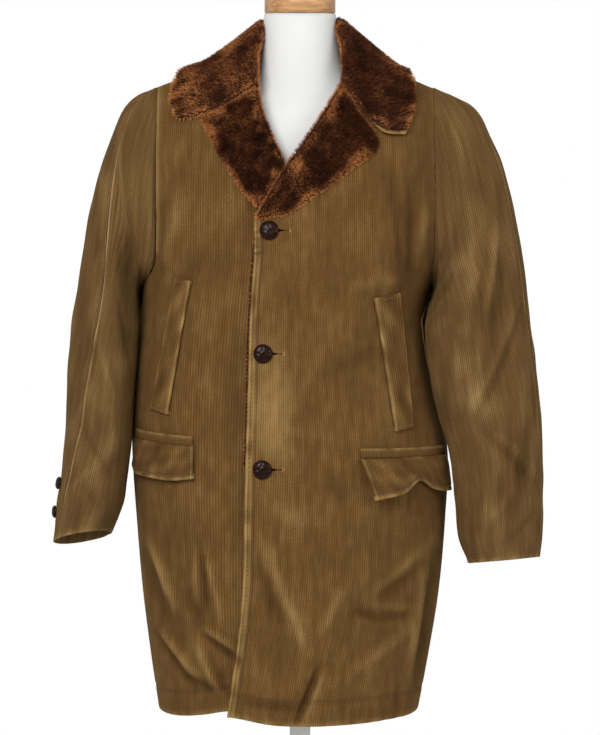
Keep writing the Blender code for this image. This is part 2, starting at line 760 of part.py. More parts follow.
def flap_angles(flap, over):
    """Angles at shares along the seam of a flap."""
    first = float(angle_at(flap.start, flap.seam_in))
    return level_angles(flap.seam_in, first, math.radians(flap.end_degrees), over)


def flap_sheet(name):
    """A loose flap that hangs from its seam, with its drop and curl at places across it."""
    flap = FLAPS[name]
    drops = FLAP_DROPS[name]
    over = np.linspace(0, 1, FLAP_COLUMNS + 1)
    angles = flap_angles(flap, over)
    seam = flap.seam_in + (flap.seam_out - flap.seam_in) * over - SEAM
    rows = []
    for down in np.linspace(0, 1, FLAP_ROWS + 1):
        lift = FLAP_LIFT + (read(drops, "out", over) - FLAP_LIFT) * down**0.8
        row = lying_on_front(angles, seam + read(drops, "low", over) * down, lift)
        row[:, 0] += flap.side * read(drops, "shift", over) * down
        rows.append(row)
    return np.array(rows)


def jet_sheet(name):
    """The band above a flap."""
    flap = FLAPS[name]
    over = np.linspace(0, 1, FLAP_COLUMNS + 1)
    angles = flap_angles(flap, over)
    seam = flap.seam_in + (flap.seam_out - flap.seam_in) * over + SEAM
    lift = np.full_like(seam, LYING_GAP + JET_WALL)
    levels = np.linspace(0, 1, JET_ROWS + 1)
    return np.array([lying_on_front(angles, seam + JET_HEIGHT * up, lift) for up in levels])


FACING_ROWS = 14
FACING_COLUMNS = 4


def facing_sheet():
    """The fur edge behind the front edge of the overlapping front."""
    rows = []
    for z in np.linspace(FACING_LOW, FACING_TOP, FACING_ROWS + 1):
        edge = float(read(EDGE_LEFT, "x", z))
        x = np.linspace(edge - FACING_PEEK, edge + FACING_WIDTH, FACING_COLUMNS + 1)
        behind = np.full_like(x, -CLOTH - 2 * SEAM)
        rows.append(lying(np.stack([x, np.full_like(x, z)], axis=-1), behind))
    return np.array(rows)


def colour(name):
    """A plain finish with its own colour, roughness and metallic value."""
    material = bpy.data.materials.get(name) or bpy.data.materials.new(name)
    material.use_nodes = True
    shader = material.node_tree.nodes["Principled BSDF"]
    base, roughness, metallic = COLOURS[name]
    shader.inputs["Base Color"].default_value = (*base, 1.0)
    shader.inputs["Roughness"].default_value = roughness
    shader.inputs["Metallic"].default_value = metallic
    return material


def collect(name):
    """The collection that holds the parts."""
    collection = bpy.data.collections.get(name) or bpy.data.collections.new(name)
    if collection.name not in bpy.context.scene.collection.children:
        bpy.context.scene.collection.children.link(collection)
    return collection


def add_object(name, bm, finish):
    """Makes a named object of a mesh, shaded smooth, with its finish."""
    mesh = bpy.data.meshes.new(name)
    bm.to_mesh(mesh)
    bm.free()
    mesh.shade_smooth()
    mesh.materials.append(colour(finish))
    item = bpy.data.objects.new(name, mesh)
    item.matrix_world = Matrix.Translation((CENTRE, 0, 0))
    collect("coat_on_dress_form").objects.link(item)
    return item


def add_grid(bm, rows):
    """A grid in the mesh with its vertices moved to the rows of points."""
    down = rows.shape[0] - 1
    over = rows.shape[1] - 1
    made = bmesh.ops.create_grid(bm, x_segments=over, y_segments=down, size=1.0)
    for vertex in made["verts"]:
        column = round((vertex.co.x + 1) / 2 * over)
        row = round((vertex.co.y + 1) / 2 * down)
        vertex.co = Vector(rows[row, column])


def add_wall(name, blocks, wall, finish, inside):
    """A sheet of one or more grids with a wall thickness on the side of the given point."""
    bm = bmesh.new()
    for rows in blocks:
        add_grid(bm, rows)
    bmesh.ops.remove_doubles(bm, verts=bm.verts, dist=0.00005)
    bmesh.ops.recalc_face_normals(bm, faces=bm.faces)
    bm.normal_update()
    inner = Vector(inside)
    outward = sum(f.normal.dot(f.calc_center_median() - inner) * f.calc_area() for f in bm.faces)
    if outward < 0:
        bmesh.ops.reverse_faces(bm, faces=bm.faces)
    item = add_object(name, bm, finish)
    solid = item.modifiers.new("Wall", "SOLIDIFY")
    solid.thickness = wall
    solid.offset = -1.0
    return item


def add_turned(name, profile, finish, steps, place):
    """A turned solid from a profile of radius and height that runs from top to bottom."""
    bm = bmesh.new()
    ring = [bm.verts.new((radius, 0.0, height)) for radius, height in profile]
    for upper, lower in zip(ring, ring[1:]):
        bm.edges.new((upper, lower))
    item = add_object(name, bm, finish)
    turn = item.modifiers.new("Turn", "SCREW")
    turn.axis = "Z"
    turn.steps = steps
    turn.render_steps = steps
    turn.use_merge_vertices = True
    turn.merge_threshold = 0.00005
    item.matrix_world = item.matrix_world @ place
    return item


def dome(radius, height):
    """Profile of a domed button with a flat underside."""
    turn = np.linspace(0, math.pi / 2, 5)
    crown = [(radius * math.sin(t), height * (0.35 + 0.65 * math.cos(t))) for t in turn]
    return [*crown, (radius * 0.86, 0.0), (0.0, 0.0)]


def seat(point, normal):
    """Places a turned solid's axis along a normal at a point."""
    turn = Vector((0, 0, 1)).rotation_difference(Vector(normal)).to_matrix().to_4x4()
    return Matrix.Translation(Vector(point)) @ turn


BODY_INSIDE = (-0.01, 0.0, 1.0)
ARM_INSIDE = {1: (0.25, -0.015, 1.08), -1: (-0.25, -0.015, 1.08)}
NECK_INSIDE = (0.0, 0.0, 1.30)
STAND_INSIDE = (0.0, 0.0, 1.50)


def make_body():
    """Fronts and back."""
    add_wall("front_left", front_sheet(1), CLOTH, "corduroy", BODY_INSIDE)
    add_wall("front_right", front_sheet(-1), CLOTH, "corduroy", BODY_INSIDE)
    add_wall("back", back_sheet(), CLOTH, "corduroy", BODY_INSIDE)


def make_sleeves():
    """Two panels for each sleeve."""
    for side, name in ((1, "left"), (-1, "right")):
        inside = ARM_INSIDE[side]
        add_wall(f"sleeve_{name}_front", [sleeve_sheet(side, False)], CLOTH, "corduroy", inside)
        add_wall(f"sleeve_{name}_back", [sleeve_sheet(side, True)], CLOTH, "corduroy", inside)


def make_collar():
    """Leaf, undercollar, stand, lapels and the fur that shows beside the front edge."""
    leaf = collar_sheet()
    under = moved_in(leaf, FUR + UNDER_GAP)[UNDER_END_ROWS:-UNDER_END_ROWS, UNDER_FIRST_COLUMN:]
    add_wall("collar", [leaf], FUR, "fur", NECK_INSIDE)
    add_wall("undercollar", [under], LEAF_CLOTH, "corduroy", NECK_INSIDE)
    add_wall("collar_stand", [stand_sheet()], STAND_WALL, "fur", STAND_INSIDE)
    left = lapel_sheet(ROLL_LEFT, LAPEL_LEFT_EDGE, BREAK)
    right = lapel_sheet(ROLL_RIGHT, LAPEL_RIGHT_EDGE, LAPEL_RIGHT_LOW)
    add_wall("lapel_left", [left], FUR, "fur", NECK_INSIDE)
    add_wall("lapel_right", [right], FUR, "fur", NECK_INSIDE)
    add_wall("facing_left", [facing_sheet()], CLOTH, "fur", BODY_INSIDE)


def make_pockets():
    """Welts, jets and flaps."""
    for name, welt in WELTS.items():
        add_wall(name, [welt_sheet(welt)], WELT_WALL, "corduroy", BODY_INSIDE)
    for name in FLAPS:
        add_wall(f"jet_{name}", [jet_sheet(name)], JET_WALL, "corduroy", BODY_INSIDE)
        add_wall(f"flap_{name}", [flap_sheet(name)], FLAP_WALL, "corduroy", BODY_INSIDE)


def make_buttons():
    """Three buttons down the front and two on each cuff."""
    profile = dome(BUTTON_RADIUS, BUTTON_DOME)
    for name, (x, z) in BUTTONS.items():
        angle = angle_at(x, z)
        low = lying_on_front(angle, np.float64(z), LYING_GAP)
        high = lying_on_front(angle, np.float64(z), LYING_GAP + BUTTON_DOME)
        add_turned(name, profile, "leather", BUTTON_STEPS, seat(low, high - low))
    profile = dome(CUFF_BUTTON_RADIUS, CUFF_BUTTON_DOME)
    for side, label in ((1, "left"), (-1, "right")):
        for number, ring in enumerate(CUFF_BUTTON_RINGS, 1):
            degrees = np.array([overarm(side, ring) + CUFF_BUTTON_TURN[side]])
            point = sleeve_ring(side, ring, degrees)[0]
            out = point - ring_middle(SLEEVES[side], ring)
            out = out / np.linalg.norm(out)
            place = seat(point + out * LYING_GAP, out)
            add_turned(f"cuff_button_{label}_{number}", profile, "leather", CUFF_BUTTON_STEPS, place)


def make_form():
    """Torso with neck, cap, pole and base."""
    bm = bmesh.new()
    heights = np.array([row.height for row in FORM])
    heights = np.unique(np.concatenate([heights, (heights[1:-1] + heights[2:]) / 2]))
    turn = np.linspace(0, 2 * math.pi, FORM_STEPS, endpoint=False)
    loops = []
    for z in heights:
        half = read(FORM, "half_width", z)
        depth = np.where(np.cos(turn) > 0, read(FORM, "front", z), read(FORM, "back", z))
        x = half * np.sin(turn)
        y = -depth * np.cos(turn) + NECK_SETBACK
        loops.append([bm.verts.new((a, b, z)) for a, b in zip(x, y)])
    for low, high in zip(loops, loops[1:]):
        for i in range(FORM_STEPS):
            j = (i + 1) % FORM_STEPS
            bm.faces.new((low[i], low[j], high[j], high[i]))
    bm.faces.new(list(reversed(loops[0])))
    bm.faces.new(loops[-1])
    bmesh.ops.recalc_face_normals(bm, faces=bm.faces)
    add_object("form_torso", bm, "jersey")
    top = FORM[-1].height + SEAM
    bend = np.linspace(math.pi / 2, 0, 6)
    shoulder = CAP_RADIUS - CAP_ROUND
    crown = CAP_HEIGHT - CAP_ROUND
    rim = [(shoulder + CAP_ROUND * math.cos(t), crown + CAP_ROUND * math.sin(t)) for t in bend]
    foot = [(CAP_RADIUS, CAP_CHAMFER), (CAP_RADIUS - CAP_CHAMFER, 0.0), (0.0, 0.0)]
    profile = [(0.0, CAP_HEIGHT), *rim, *foot]
    add_turned("neck_cap", profile, "wood", CAP_STEPS, Matrix.Translation((0, NECK_SETBACK, top)))
    length = FORM[0].height - BASE_HEIGHT - 2 * SEAM
    pole = [(0.0, length), (POLE_RADIUS, length), (POLE_RADIUS, 0.0), (0.0, 0.0)]
    foot_of_pole = Matrix.Translation((0, NECK_SETBACK, BASE_HEIGHT + SEAM))
    add_turned("stand_pole", pole, "steel", POLE_STEPS, foot_of_pole)
    bm = bmesh.new()
    bmesh.ops.create_cone(
        bm,
        cap_ends=True,
        segments=BASE_STEPS,
        radius1=BASE_RADIUS,
        radius2=BASE_RADIUS,
        depth=BASE_HEIGHT,
    )
    bmesh.ops.translate(bm, verts=bm.verts, vec=(0, 0, BASE_HEIGHT / 2))
    base = add_object("stand_base", bm, "steel")
    bevel = base.modifiers.new("Edge", "BEVEL")
    bevel.width = BASE_BEVEL
    bevel.segments = 2
    bevel.limit_method = "ANGLE"


clear_scene()
make_body()
make_sleeves()
make_collar()
make_pockets()
make_buttons()
make_form()
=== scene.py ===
"""Looks of a corduroy car coat with a fur collar, buttoned on a limbless dress form with a floor stand.

Metres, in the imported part's frame: +Z up, the coat faces -Y, the wearer's left is at +X. The cloth is
made again on the solids' own surfaces, with its wales, creases, seams and sewing; the fur is strands.
"""

import logging
import math
from dataclasses import dataclass
from dataclasses import field
from enum import Enum
from typing import NamedTuple

import bpy
import numpy as np
from mathutils import Euler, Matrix
from mathutils import Vector


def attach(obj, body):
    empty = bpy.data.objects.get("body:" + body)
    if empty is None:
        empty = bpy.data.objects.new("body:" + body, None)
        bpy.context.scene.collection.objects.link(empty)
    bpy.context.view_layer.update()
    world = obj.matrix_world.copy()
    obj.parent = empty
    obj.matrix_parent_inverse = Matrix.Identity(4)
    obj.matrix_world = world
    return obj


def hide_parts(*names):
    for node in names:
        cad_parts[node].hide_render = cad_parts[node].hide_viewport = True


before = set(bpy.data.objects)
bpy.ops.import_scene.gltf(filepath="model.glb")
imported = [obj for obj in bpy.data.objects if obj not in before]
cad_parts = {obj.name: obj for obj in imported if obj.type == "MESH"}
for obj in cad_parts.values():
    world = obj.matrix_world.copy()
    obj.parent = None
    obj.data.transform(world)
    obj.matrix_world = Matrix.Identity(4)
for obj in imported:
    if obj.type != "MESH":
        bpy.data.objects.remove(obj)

Array = np.ndarray
Rgb = tuple[float, float, float]
Socket = bpy.types.NodeSocket
Piece = bpy.types.Object

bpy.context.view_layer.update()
LOG = logging.getLogger("coat")

CENTRE = 0.0031
WALE_COLUMNS = 3
WALE_HEIGHT = 0.00038
CLOTH_WALL = 0.0026
STITCH_LIFT = 0.0003
HEM_LIFT = 0.0001
SEED = 7
INSIDE_SKIRT = np.array([0.0, 0.0, 0.95])
INSIDE_CHEST = np.array([0.0, 0.0, 1.30])


class Side(Enum):
    """An edge of a grid of points."""

    LOW = "low"
    HIGH = "high"
    START = "start"
    END = "end"


class Arm(Enum):
    """A side of the coat, as its wearer names it."""

    LEFT = 1
    RIGHT = -1

    @property
    def label(self) -> str:
        """Its word in the names of nodes."""
        return self.name.lower()


class Rail(Enum):
    """A long edge of the collar's leaf."""

    FOLD = "fold"
    EDGE = "edge"


class Slot(Enum):
    """A material slot of the record."""

    CORDUROY = "corduroy"
    FUR = "fur"
    LEATHER = "leather"
    JERSEY = "jersey"
    WOOD = "wood"


class Section(NamedTuple):
    """Half widths and depths of the body at a height, and how far back its side seam is."""

    height: float
    right: float
    left: float
    front: float
    back: float
    side: float


class Edge(NamedTuple):
    """Place across the body of an edge at a height."""

    height: float
    x: float


class Fold(NamedTuple):
    """A soft ridge or trough along a line seen from the front or back."""

    x1: float
    z1: float
    x2: float
    z2: float
    width: float
    height: float


class Ring(NamedTuple):
    """A ring of a sleeve between its outer and inner rail."""

    outer_x: float
    outer_z: float
    inner_x: float
    inner_z: float
    middle: float
    half_depth: float
    pitch: float


class Turn(NamedTuple):
    """Angle of the seam along the arm at a ring."""

    ring: float
    degrees: float


class Bulge(NamedTuple):
    """A fold of a sleeve, placed by ring and angle."""

    ring: float
    degrees: float
    slant: float
    along: float
    around: float
    height: float


class Station(NamedTuple):
    """Fold and outer edge of the collar's leaf at a place round the neck."""

    fold_x: float
    fold_y: float
    fold_z: float
    edge_x: float
    edge_y: float
    edge_z: float
    rise: float
    bow: float


class Welt(NamedTuple):
    """Corners of a slanted welt, seen from the front."""

    top_in: tuple[float, float]
    top_out: tuple[float, float]
    low_in: tuple[float, float]
    low_out: tuple[float, float]


class Flap(NamedTuple):
    """Seam of a pocket flap, its ribs and width, its curl's ridge and its cut corner."""

    start: float
    end_degrees: float
    seam_in: float
    seam_out: float
    wales: int
    width: float
    ridge: float
    corner: float


class Drop(NamedTuple):
    """How far a flap hangs down, out and aside at a share across it."""

    across: float
    low: float
    out: float
    shift: float


class Torso(NamedTuple):
    """Half width and depths of the dress form at a height."""

    height: float
    half_width: float
    front: float
    back: float


def smooth(knots: list[float], values: list[float], at: Array | float) -> Array:
    """Reads a smooth curve through values at knots.

    Args:
        knots: Rising places of the values.
        values: Values at the knots.
        at: Places to read.

    Returns:
        The curve's values at those places.
    """
    k = np.asarray(knots, float)
    v = np.asarray(values, float)
    at = np.clip(np.asarray(at, float), k[0], k[-1])
    slopes = np.gradient(v, k)
    i = np.clip(np.searchsorted(k, at, side="right") - 1, 0, len(k) - 2)
    width = k[i + 1] - k[i]
    t = (at - k[i]) / width
    start = (2 * t**3 - 3 * t**2 + 1) * v[i] + (t**3 - 2 * t**2 + t) * width * slopes[i]
    end = (3 * t**2 - 2 * t**3) * v[i + 1] + (t**3 - t**2) * width * slopes[i + 1]
    return start + end


def read(rows: tuple, column: str, at: Array | float) -> Array:
    """Reads a column of a table at any value of its first column."""
    return smooth([row[0] for row in rows], [getattr(row, column) for row in rows], at)


def read_row(rows: tuple, column: str, index: Array | float) -> Array:
    """Reads a column of a table at any row number, also between rows."""
    return smooth(list(range(len(rows))), [getattr(row, column) for row in rows], index)


def ease(t: Array | float) -> Array:
    """Goes from 0 to 1 with level ends."""
    t = np.clip(t, 0.0, 1.0)
    return t * t * (3 - 2 * t)


def unit(vectors: Array) -> Array:
    """Vectors of length one."""
    return vectors / np.maximum(np.linalg.norm(vectors, axis=-1, keepdims=True), 1e-12)


def length_along(line: Array) -> Array:
    """Length from the start of a line to each of its points."""
    return np.concatenate([[0.0], np.cumsum(np.linalg.norm(np.diff(line, axis=0), axis=1))])


def spread(line: Array, shares: Array) -> Array:
    """Points at shares of the length of a line, in any number of dimensions.

    Args:
        line: Points of the line, one row each.
        shares: Shares of its length.

    Returns:
        The points.
    """
    knots = length_along(line)
    at = shares * knots[-1]
    return np.stack([np.interp(at, knots, line[:, axis]) for axis in range(line.shape[1])], axis=-1)


def along_line(line: tuple, shares: Array) -> Array:
    """Points at shares of the length of a smooth line seen from the front.

    Args:
        line: Points of the line.
        shares: Shares of its length.

    Returns:
        Rows of x and z.
    """
    points = np.asarray(line, float)
    knots = length_along(points)
    return np.stack([smooth(knots, points[:, axis], shares * knots[-1]) for axis in range(2)], axis=-1)


def mottle(a: Array, b: Array, size: float, seed: int) -> Array:
    """Soft uneven waves between -1 and 1 over two coordinates.

    Args:
        a: First coordinate in metres.
        b: Second coordinate in metres.
        size: Rough distance between waves in metres.
        seed: Number that picks one pattern.

    Returns:
        The waves' height at each place.
    """
    draw = np.random.default_rng(seed)
    total = np.zeros(np.broadcast(a, b).shape)
    count = 7
    for _ in range(count):
        turn = draw.uniform(0, math.pi)
        pace = 2 * math.pi / (size * draw.uniform(0.6, 1.7))
        total = total + np.sin((a * math.cos(turn) + b * math.sin(turn)) * pace + draw.uniform(0, 6.3))
    return total / math.sqrt(2 * count)


@dataclass
class Grid:
    """A sheet of points in rows and columns, with what its finish needs at each point.

    Attributes:
        points: Places, rows by columns by three.
        normals: Outward directions, of the same shape.
        cloth: Places on the flat cloth in metres, rows by columns by two.
        wear: Wear and random tone together with painted shade in grooves, dips and crease troughs and painted
            light on crease ridges, from -1, dark, to 1, pale.
    """

    points: Array
    normals: Array
    cloth: Array
    wear: Array

    @classmethod
    def over(cls, points: Array, outward: Array | None = None) -> "Grid":
        """Makes a grid of points, with normals and cloth places from the points.

        Args:
            points: Rows of points.
            outward: What the normals lead away from, a point or one for each row, or None to keep them.

        Returns:
            The grid, with no wear.
        """
        normals = unit(np.cross(np.gradient(points, axis=1), np.gradient(points, axis=0)))
        if outward is not None and np.sum(normals * (points - outward)) < 0:
            normals = -normals
        across = np.linalg.norm(np.diff(points, axis=1), axis=2).mean(axis=0)
        down = np.linalg.norm(np.diff(points, axis=0), axis=2).mean(axis=1)
        u = np.concatenate([[0.0], np.cumsum(across)])
        v = np.concatenate([[0.0], np.cumsum(down)])
        cloth = np.stack(np.meshgrid(u, v), axis=-1)
        return cls(points, normals, cloth, np.zeros(points.shape[:2]))

    def flat(self) -> tuple[Array, Array]:
        """Places across and along the flat cloth."""
        return self.cloth[..., 0], self.cloth[..., 1]

    def raised(self, height: Array | float) -> "Grid":
        """The grid moved out along its normals."""
        lift = np.broadcast_to(height, self.wear.shape)
        return Grid(self.points + self.normals * lift[..., None], self.normals, self.cloth, self.wear)

    def worn(self, wear: Array) -> "Grid":
        """The grid made paler or darker, for wear and for painted light and shade."""
        return Grid(self.points, self.normals, self.cloth, np.clip(self.wear + wear, -1, 1))

    def waled(self, height: float = WALE_HEIGHT) -> "Grid":
        """The grid with its columns raised to wales, each with a groove where it isn't cut off; the grooves
        get painted shade and the crests a little painted light.

        Args:
            height: Height of a wale.

        Returns:
            The ribbed grid.
        """
        groove = (np.arange(self.points.shape[1]) % WALE_COLUMNS) == 0
        gaps = np.linalg.norm(np.gradient(self.points, axis=1), axis=2)
        shown = ease((gaps - 0.0003) / 0.0004)
        lift = np.where(groove, height * (1 - shown), height)
        # Painted shade in the grooves, a little painted light on the crests.
        return self.raised(lift).worn(np.where(groove, -0.35, 0.06) * shown)

    def edge_distance(self, side: Side) -> Array:
        """Rough distance in metres of each point from an edge, along the cloth.

        Args:
            side: The edge.

        Returns:
            The distances, rows by columns.
        """
        u, v = self.flat()
        return {
            Side.LOW: v - v[:1],
            Side.HIGH: v[-1:] - v,
            Side.START: u - u[:, :1],
            Side.END: u[:, -1:] - u,
        }[side]

    def beside(self, side: Side, distance: float) -> int:
        """Number of the row or column that lies at a distance from an edge.

        Args:
            side: The edge.
            distance: The distance in metres.

        Returns:
            The number.
        """
        away = self.edge_distance(side)
        away = away[:, 0] if side in (Side.LOW, Side.HIGH) else away[0]
        return int(np.argmin(np.abs(away - distance)))

    def sunk(self, side: Side, depth: float, reach: float) -> "Grid":
        """The grid with an edge that dips in, as cloth does at a seam, with painted shade in the dip."""
        near = np.clip(1 - self.edge_distance(side) / reach, 0, 1)
        # Painted shade: the dip is darkened.
        return self.raised(-depth * near**2).worn(-0.25 * near**2)

    def grooved(self, side: Side, distance: float, width: float, depth: float, shade: float) -> "Grid":
        """The grid with a groove along an edge, where stitches pull it in, with painted shade in it.

        Args:
            side: The edge.
            distance: Distance of the groove from it.
            width: Half the groove's width.
            depth: Its depth.
            shade: How dark the painted shade in the groove is.

        Returns:
            The grooved grid.
        """
        groove = np.exp(-(((self.edge_distance(side) - distance) / width) ** 2))
        # Painted shade along the groove.
        return self.raised(-depth * groove).worn(-shade * groove)

    def pale(self, side: Side, reach: float, amount: float) -> "Grid":
        """The grid with a worn edge.

        Args:
            side: The edge.
            reach: How far in it is worn.
            amount: Wear at the very edge.

        Returns:
            The worn grid.
        """
        near = np.exp(-((self.edge_distance(side) / reach) ** 2))
        uneven = 0.75 + 0.45 * mottle(*self.flat(), 0.03, 31)
        return self.worn(amount * near * uneven)

    def turned(self, side: Side, wall: float = CLOTH_WALL, under: float = 0.014) -> "Grid":
        """The grid with an edge folded round and under.

        Args:
            side: The edge.
            wall: Thickness of the fold.
            under: How far the cloth goes back inside.

        Returns:
            A grid with more rows or columns at that edge.
        """
        axis = 0 if side in (Side.LOW, Side.HIGH) else 1
        first = side in (Side.LOW, Side.START)
        at = 0 if first else -1
        step = min(4, self.points.shape[axis] - 1)
        edge = np.take(self.points, at, axis=axis)
        normal = np.take(self.normals, at, axis=axis)
        cloth = np.take(self.cloth, at, axis=axis)
        outward = edge - np.take(self.points, step if first else -1 - step, axis=axis)
        outward = unit(outward - normal * np.sum(outward * normal, axis=-1, keepdims=True))
        ahead = np.zeros(2)
        ahead[1 - axis] = -1.0 if first else 1.0
        half = wall / 2
        lines = []
        for turn in np.linspace(0, math.pi, 5)[1:]:
            place = edge + outward * half * math.sin(turn) - normal * half * (1 - math.cos(turn))
            facing = normal * math.cos(turn) + outward * math.sin(turn)
            lines.append((place, normal if under > 0 else facing, cloth + ahead * half * turn))
        for back in (0.4, 1.0) if under > 0 else ():
            place = edge - outward * under * back - normal * wall * 1.1
            lines.append((place, normal, cloth + ahead * (math.pi * half + under * back)))
        lines = lines[::-1] if first else lines
        points, normals, flat = (np.stack(values, axis=axis) for values in zip(*lines))
        wear = np.repeat(np.take(self.wear, [at], axis=axis), len(lines), axis=axis)
        return self.joined(Grid(points, normals, flat, wear), first, axis)

    def joined(self, more: "Grid", first: bool, axis: int) -> "Grid":
        """The grid with more lines of points on one of its edges.

        Args:
            more: The lines, as a grid.
            first: Whether they come before its own.
            axis: 0 for rows, 1 for columns.

        Returns:
            The larger grid.
        """
        parts = ("points", "normals", "cloth", "wear")
        pairs = [(getattr(self, part), getattr(more, part)) for part in parts]
        return Grid(*(np.concatenate(pair[::-1] if first else pair, axis=axis) for pair in pairs))

    def grown(self, side: Side, lengths: Array) -> "Grid":
        """The grid with one more row, straight on from its low or high edge.

        Args:
            side: The low or the high edge.
            lengths: How far each column goes on.

        Returns:
            The longer grid.
        """
        first = side is Side.LOW
        at, next_to = (0, 2) if first else (-1, -3)
        edge = self.points[at]
        row = edge + unit(edge - self.points[next_to]) * (lengths + 1e-5)[:, None]
        cloth = self.cloth[at] + np.stack([np.zeros(len(lengths)), lengths * (-1 if first else 1)], axis=-1)
        more = Grid(row[None], self.normals[at][None], cloth[None], self.wear[at][None])
        return self.joined(more, first, 0)

    def trimmed(self, rows: int, columns: int) -> "Grid":
        """The grid without its outer rows and columns."""
        keep = (slice(rows, self.points.shape[0] - rows), slice(columns, self.points.shape[1] - columns))
        return Grid(self.points[keep], self.normals[keep], self.cloth[keep], self.wear[keep])


@dataclass
class MeshMaker:
    """Gathers points and faces and makes one object of them."""

    name: str
    points: list[Array] = field(default_factory=list)
    faces: list[Array] = field(default_factory=list)
    cloth: list[Array] = field(default_factory=list)
    wear: list[Array] = field(default_factory=list)
    count: int = 0

    def add(self, points: Array, faces: Array, cloth: Array, wear: Array) -> None:
        """Adds points with faces that count from them.

        Args:
            points: Places, one row each.
            faces: Point numbers, three or four to a row.
            cloth: Places on the flat cloth.
            wear: One value for each point: wear and tone with painted light and shade.
        """
        self.points.append(points)
        self.faces.append(faces + self.count)
        self.cloth.append(cloth)
        self.wear.append(wear)
        self.count += len(points)

    def add_grid(self, grid: Grid) -> None:
        """Adds a grid's points and its faces.

        Args:
            grid: The grid, with normals on its outer side.
        """
        rows, columns = grid.wear.shape
        number = np.arange(rows * columns).reshape(rows, columns)
        faces = np.stack([number[:-1, :-1], number[:-1, 1:], number[1:, 1:], number[1:, :-1]], axis=-1)
        faces = faces.reshape(-1, 4)
        a = grid.points[:-1, :-1].reshape(-1, 3)
        b = grid.points[:-1, 1:].reshape(-1, 3)
        c = grid.points[1:, :-1].reshape(-1, 3)
        facing = np.sum(np.cross(b - a, c - a) * grid.normals[:-1, :-1].reshape(-1, 3), axis=1)
        if np.median(facing) < 0:
            faces = faces[:, ::-1]
        self.add(grid.points.reshape(-1, 3), faces, grid.cloth.reshape(-1, 2), grid.wear.ravel())

    def make(self, material: bpy.types.Material, weld: bool = True) -> Piece:
        """Makes the object.

        Args:
            material: Its finish.
            weld: Whether points in one place become one.

        Returns:
            The object, linked into the scene.
        """
        points = np.concatenate(self.points)
        cloth = np.concatenate(self.cloth)
        wear = np.concatenate(self.wear)
        order = np.arange(len(points))
        if weld:
            keys = np.round(points * 2e5).astype(np.int64)
            _, first, order = np.unique(keys, axis=0, return_index=True, return_inverse=True)
            order = order.ravel()
            points, cloth, wear = points[first], cloth[first], wear[first]
        mesh = bpy.data.meshes.new(self.name)
        mesh.vertices.add(len(points))
        shifted = points + np.array([CENTRE, 0.0, 0.0])
        mesh.vertices.foreach_set("co", shifted.astype(np.float32).ravel())
        corners = [order[faces] for faces in self.faces]
        sizes = np.concatenate([np.full(len(faces), faces.shape[1]) for faces in corners])
        loops = np.concatenate([faces.ravel() for faces in corners])
        mesh.loops.add(len(loops))
        mesh.loops.foreach_set("vertex_index", loops.astype(np.int32))
        mesh.polygons.add(len(sizes))
        starts = np.concatenate([[0], np.cumsum(sizes)[:-1]])
        mesh.polygons.foreach_set("loop_start", starts.astype(np.int32))
        mesh.update(calc_edges=True)
        layer = mesh.uv_layers.new(name="cloth")
        layer.data.foreach_set("uv", cloth[loops].astype(np.float32).ravel())
        # The shader's tone for each point: wear and tone with painted light and shade.
        tint = mesh.attributes.new("wear", "FLOAT", "POINT")
        tint.data.foreach_set("value", wear.astype(np.float32))
        mesh.validate()
        mesh.shade_smooth()
        mesh.materials.append(material)
        item = bpy.data.objects.new(self.name, mesh)
        bpy.context.scene.collection.objects.link(item)
        return item


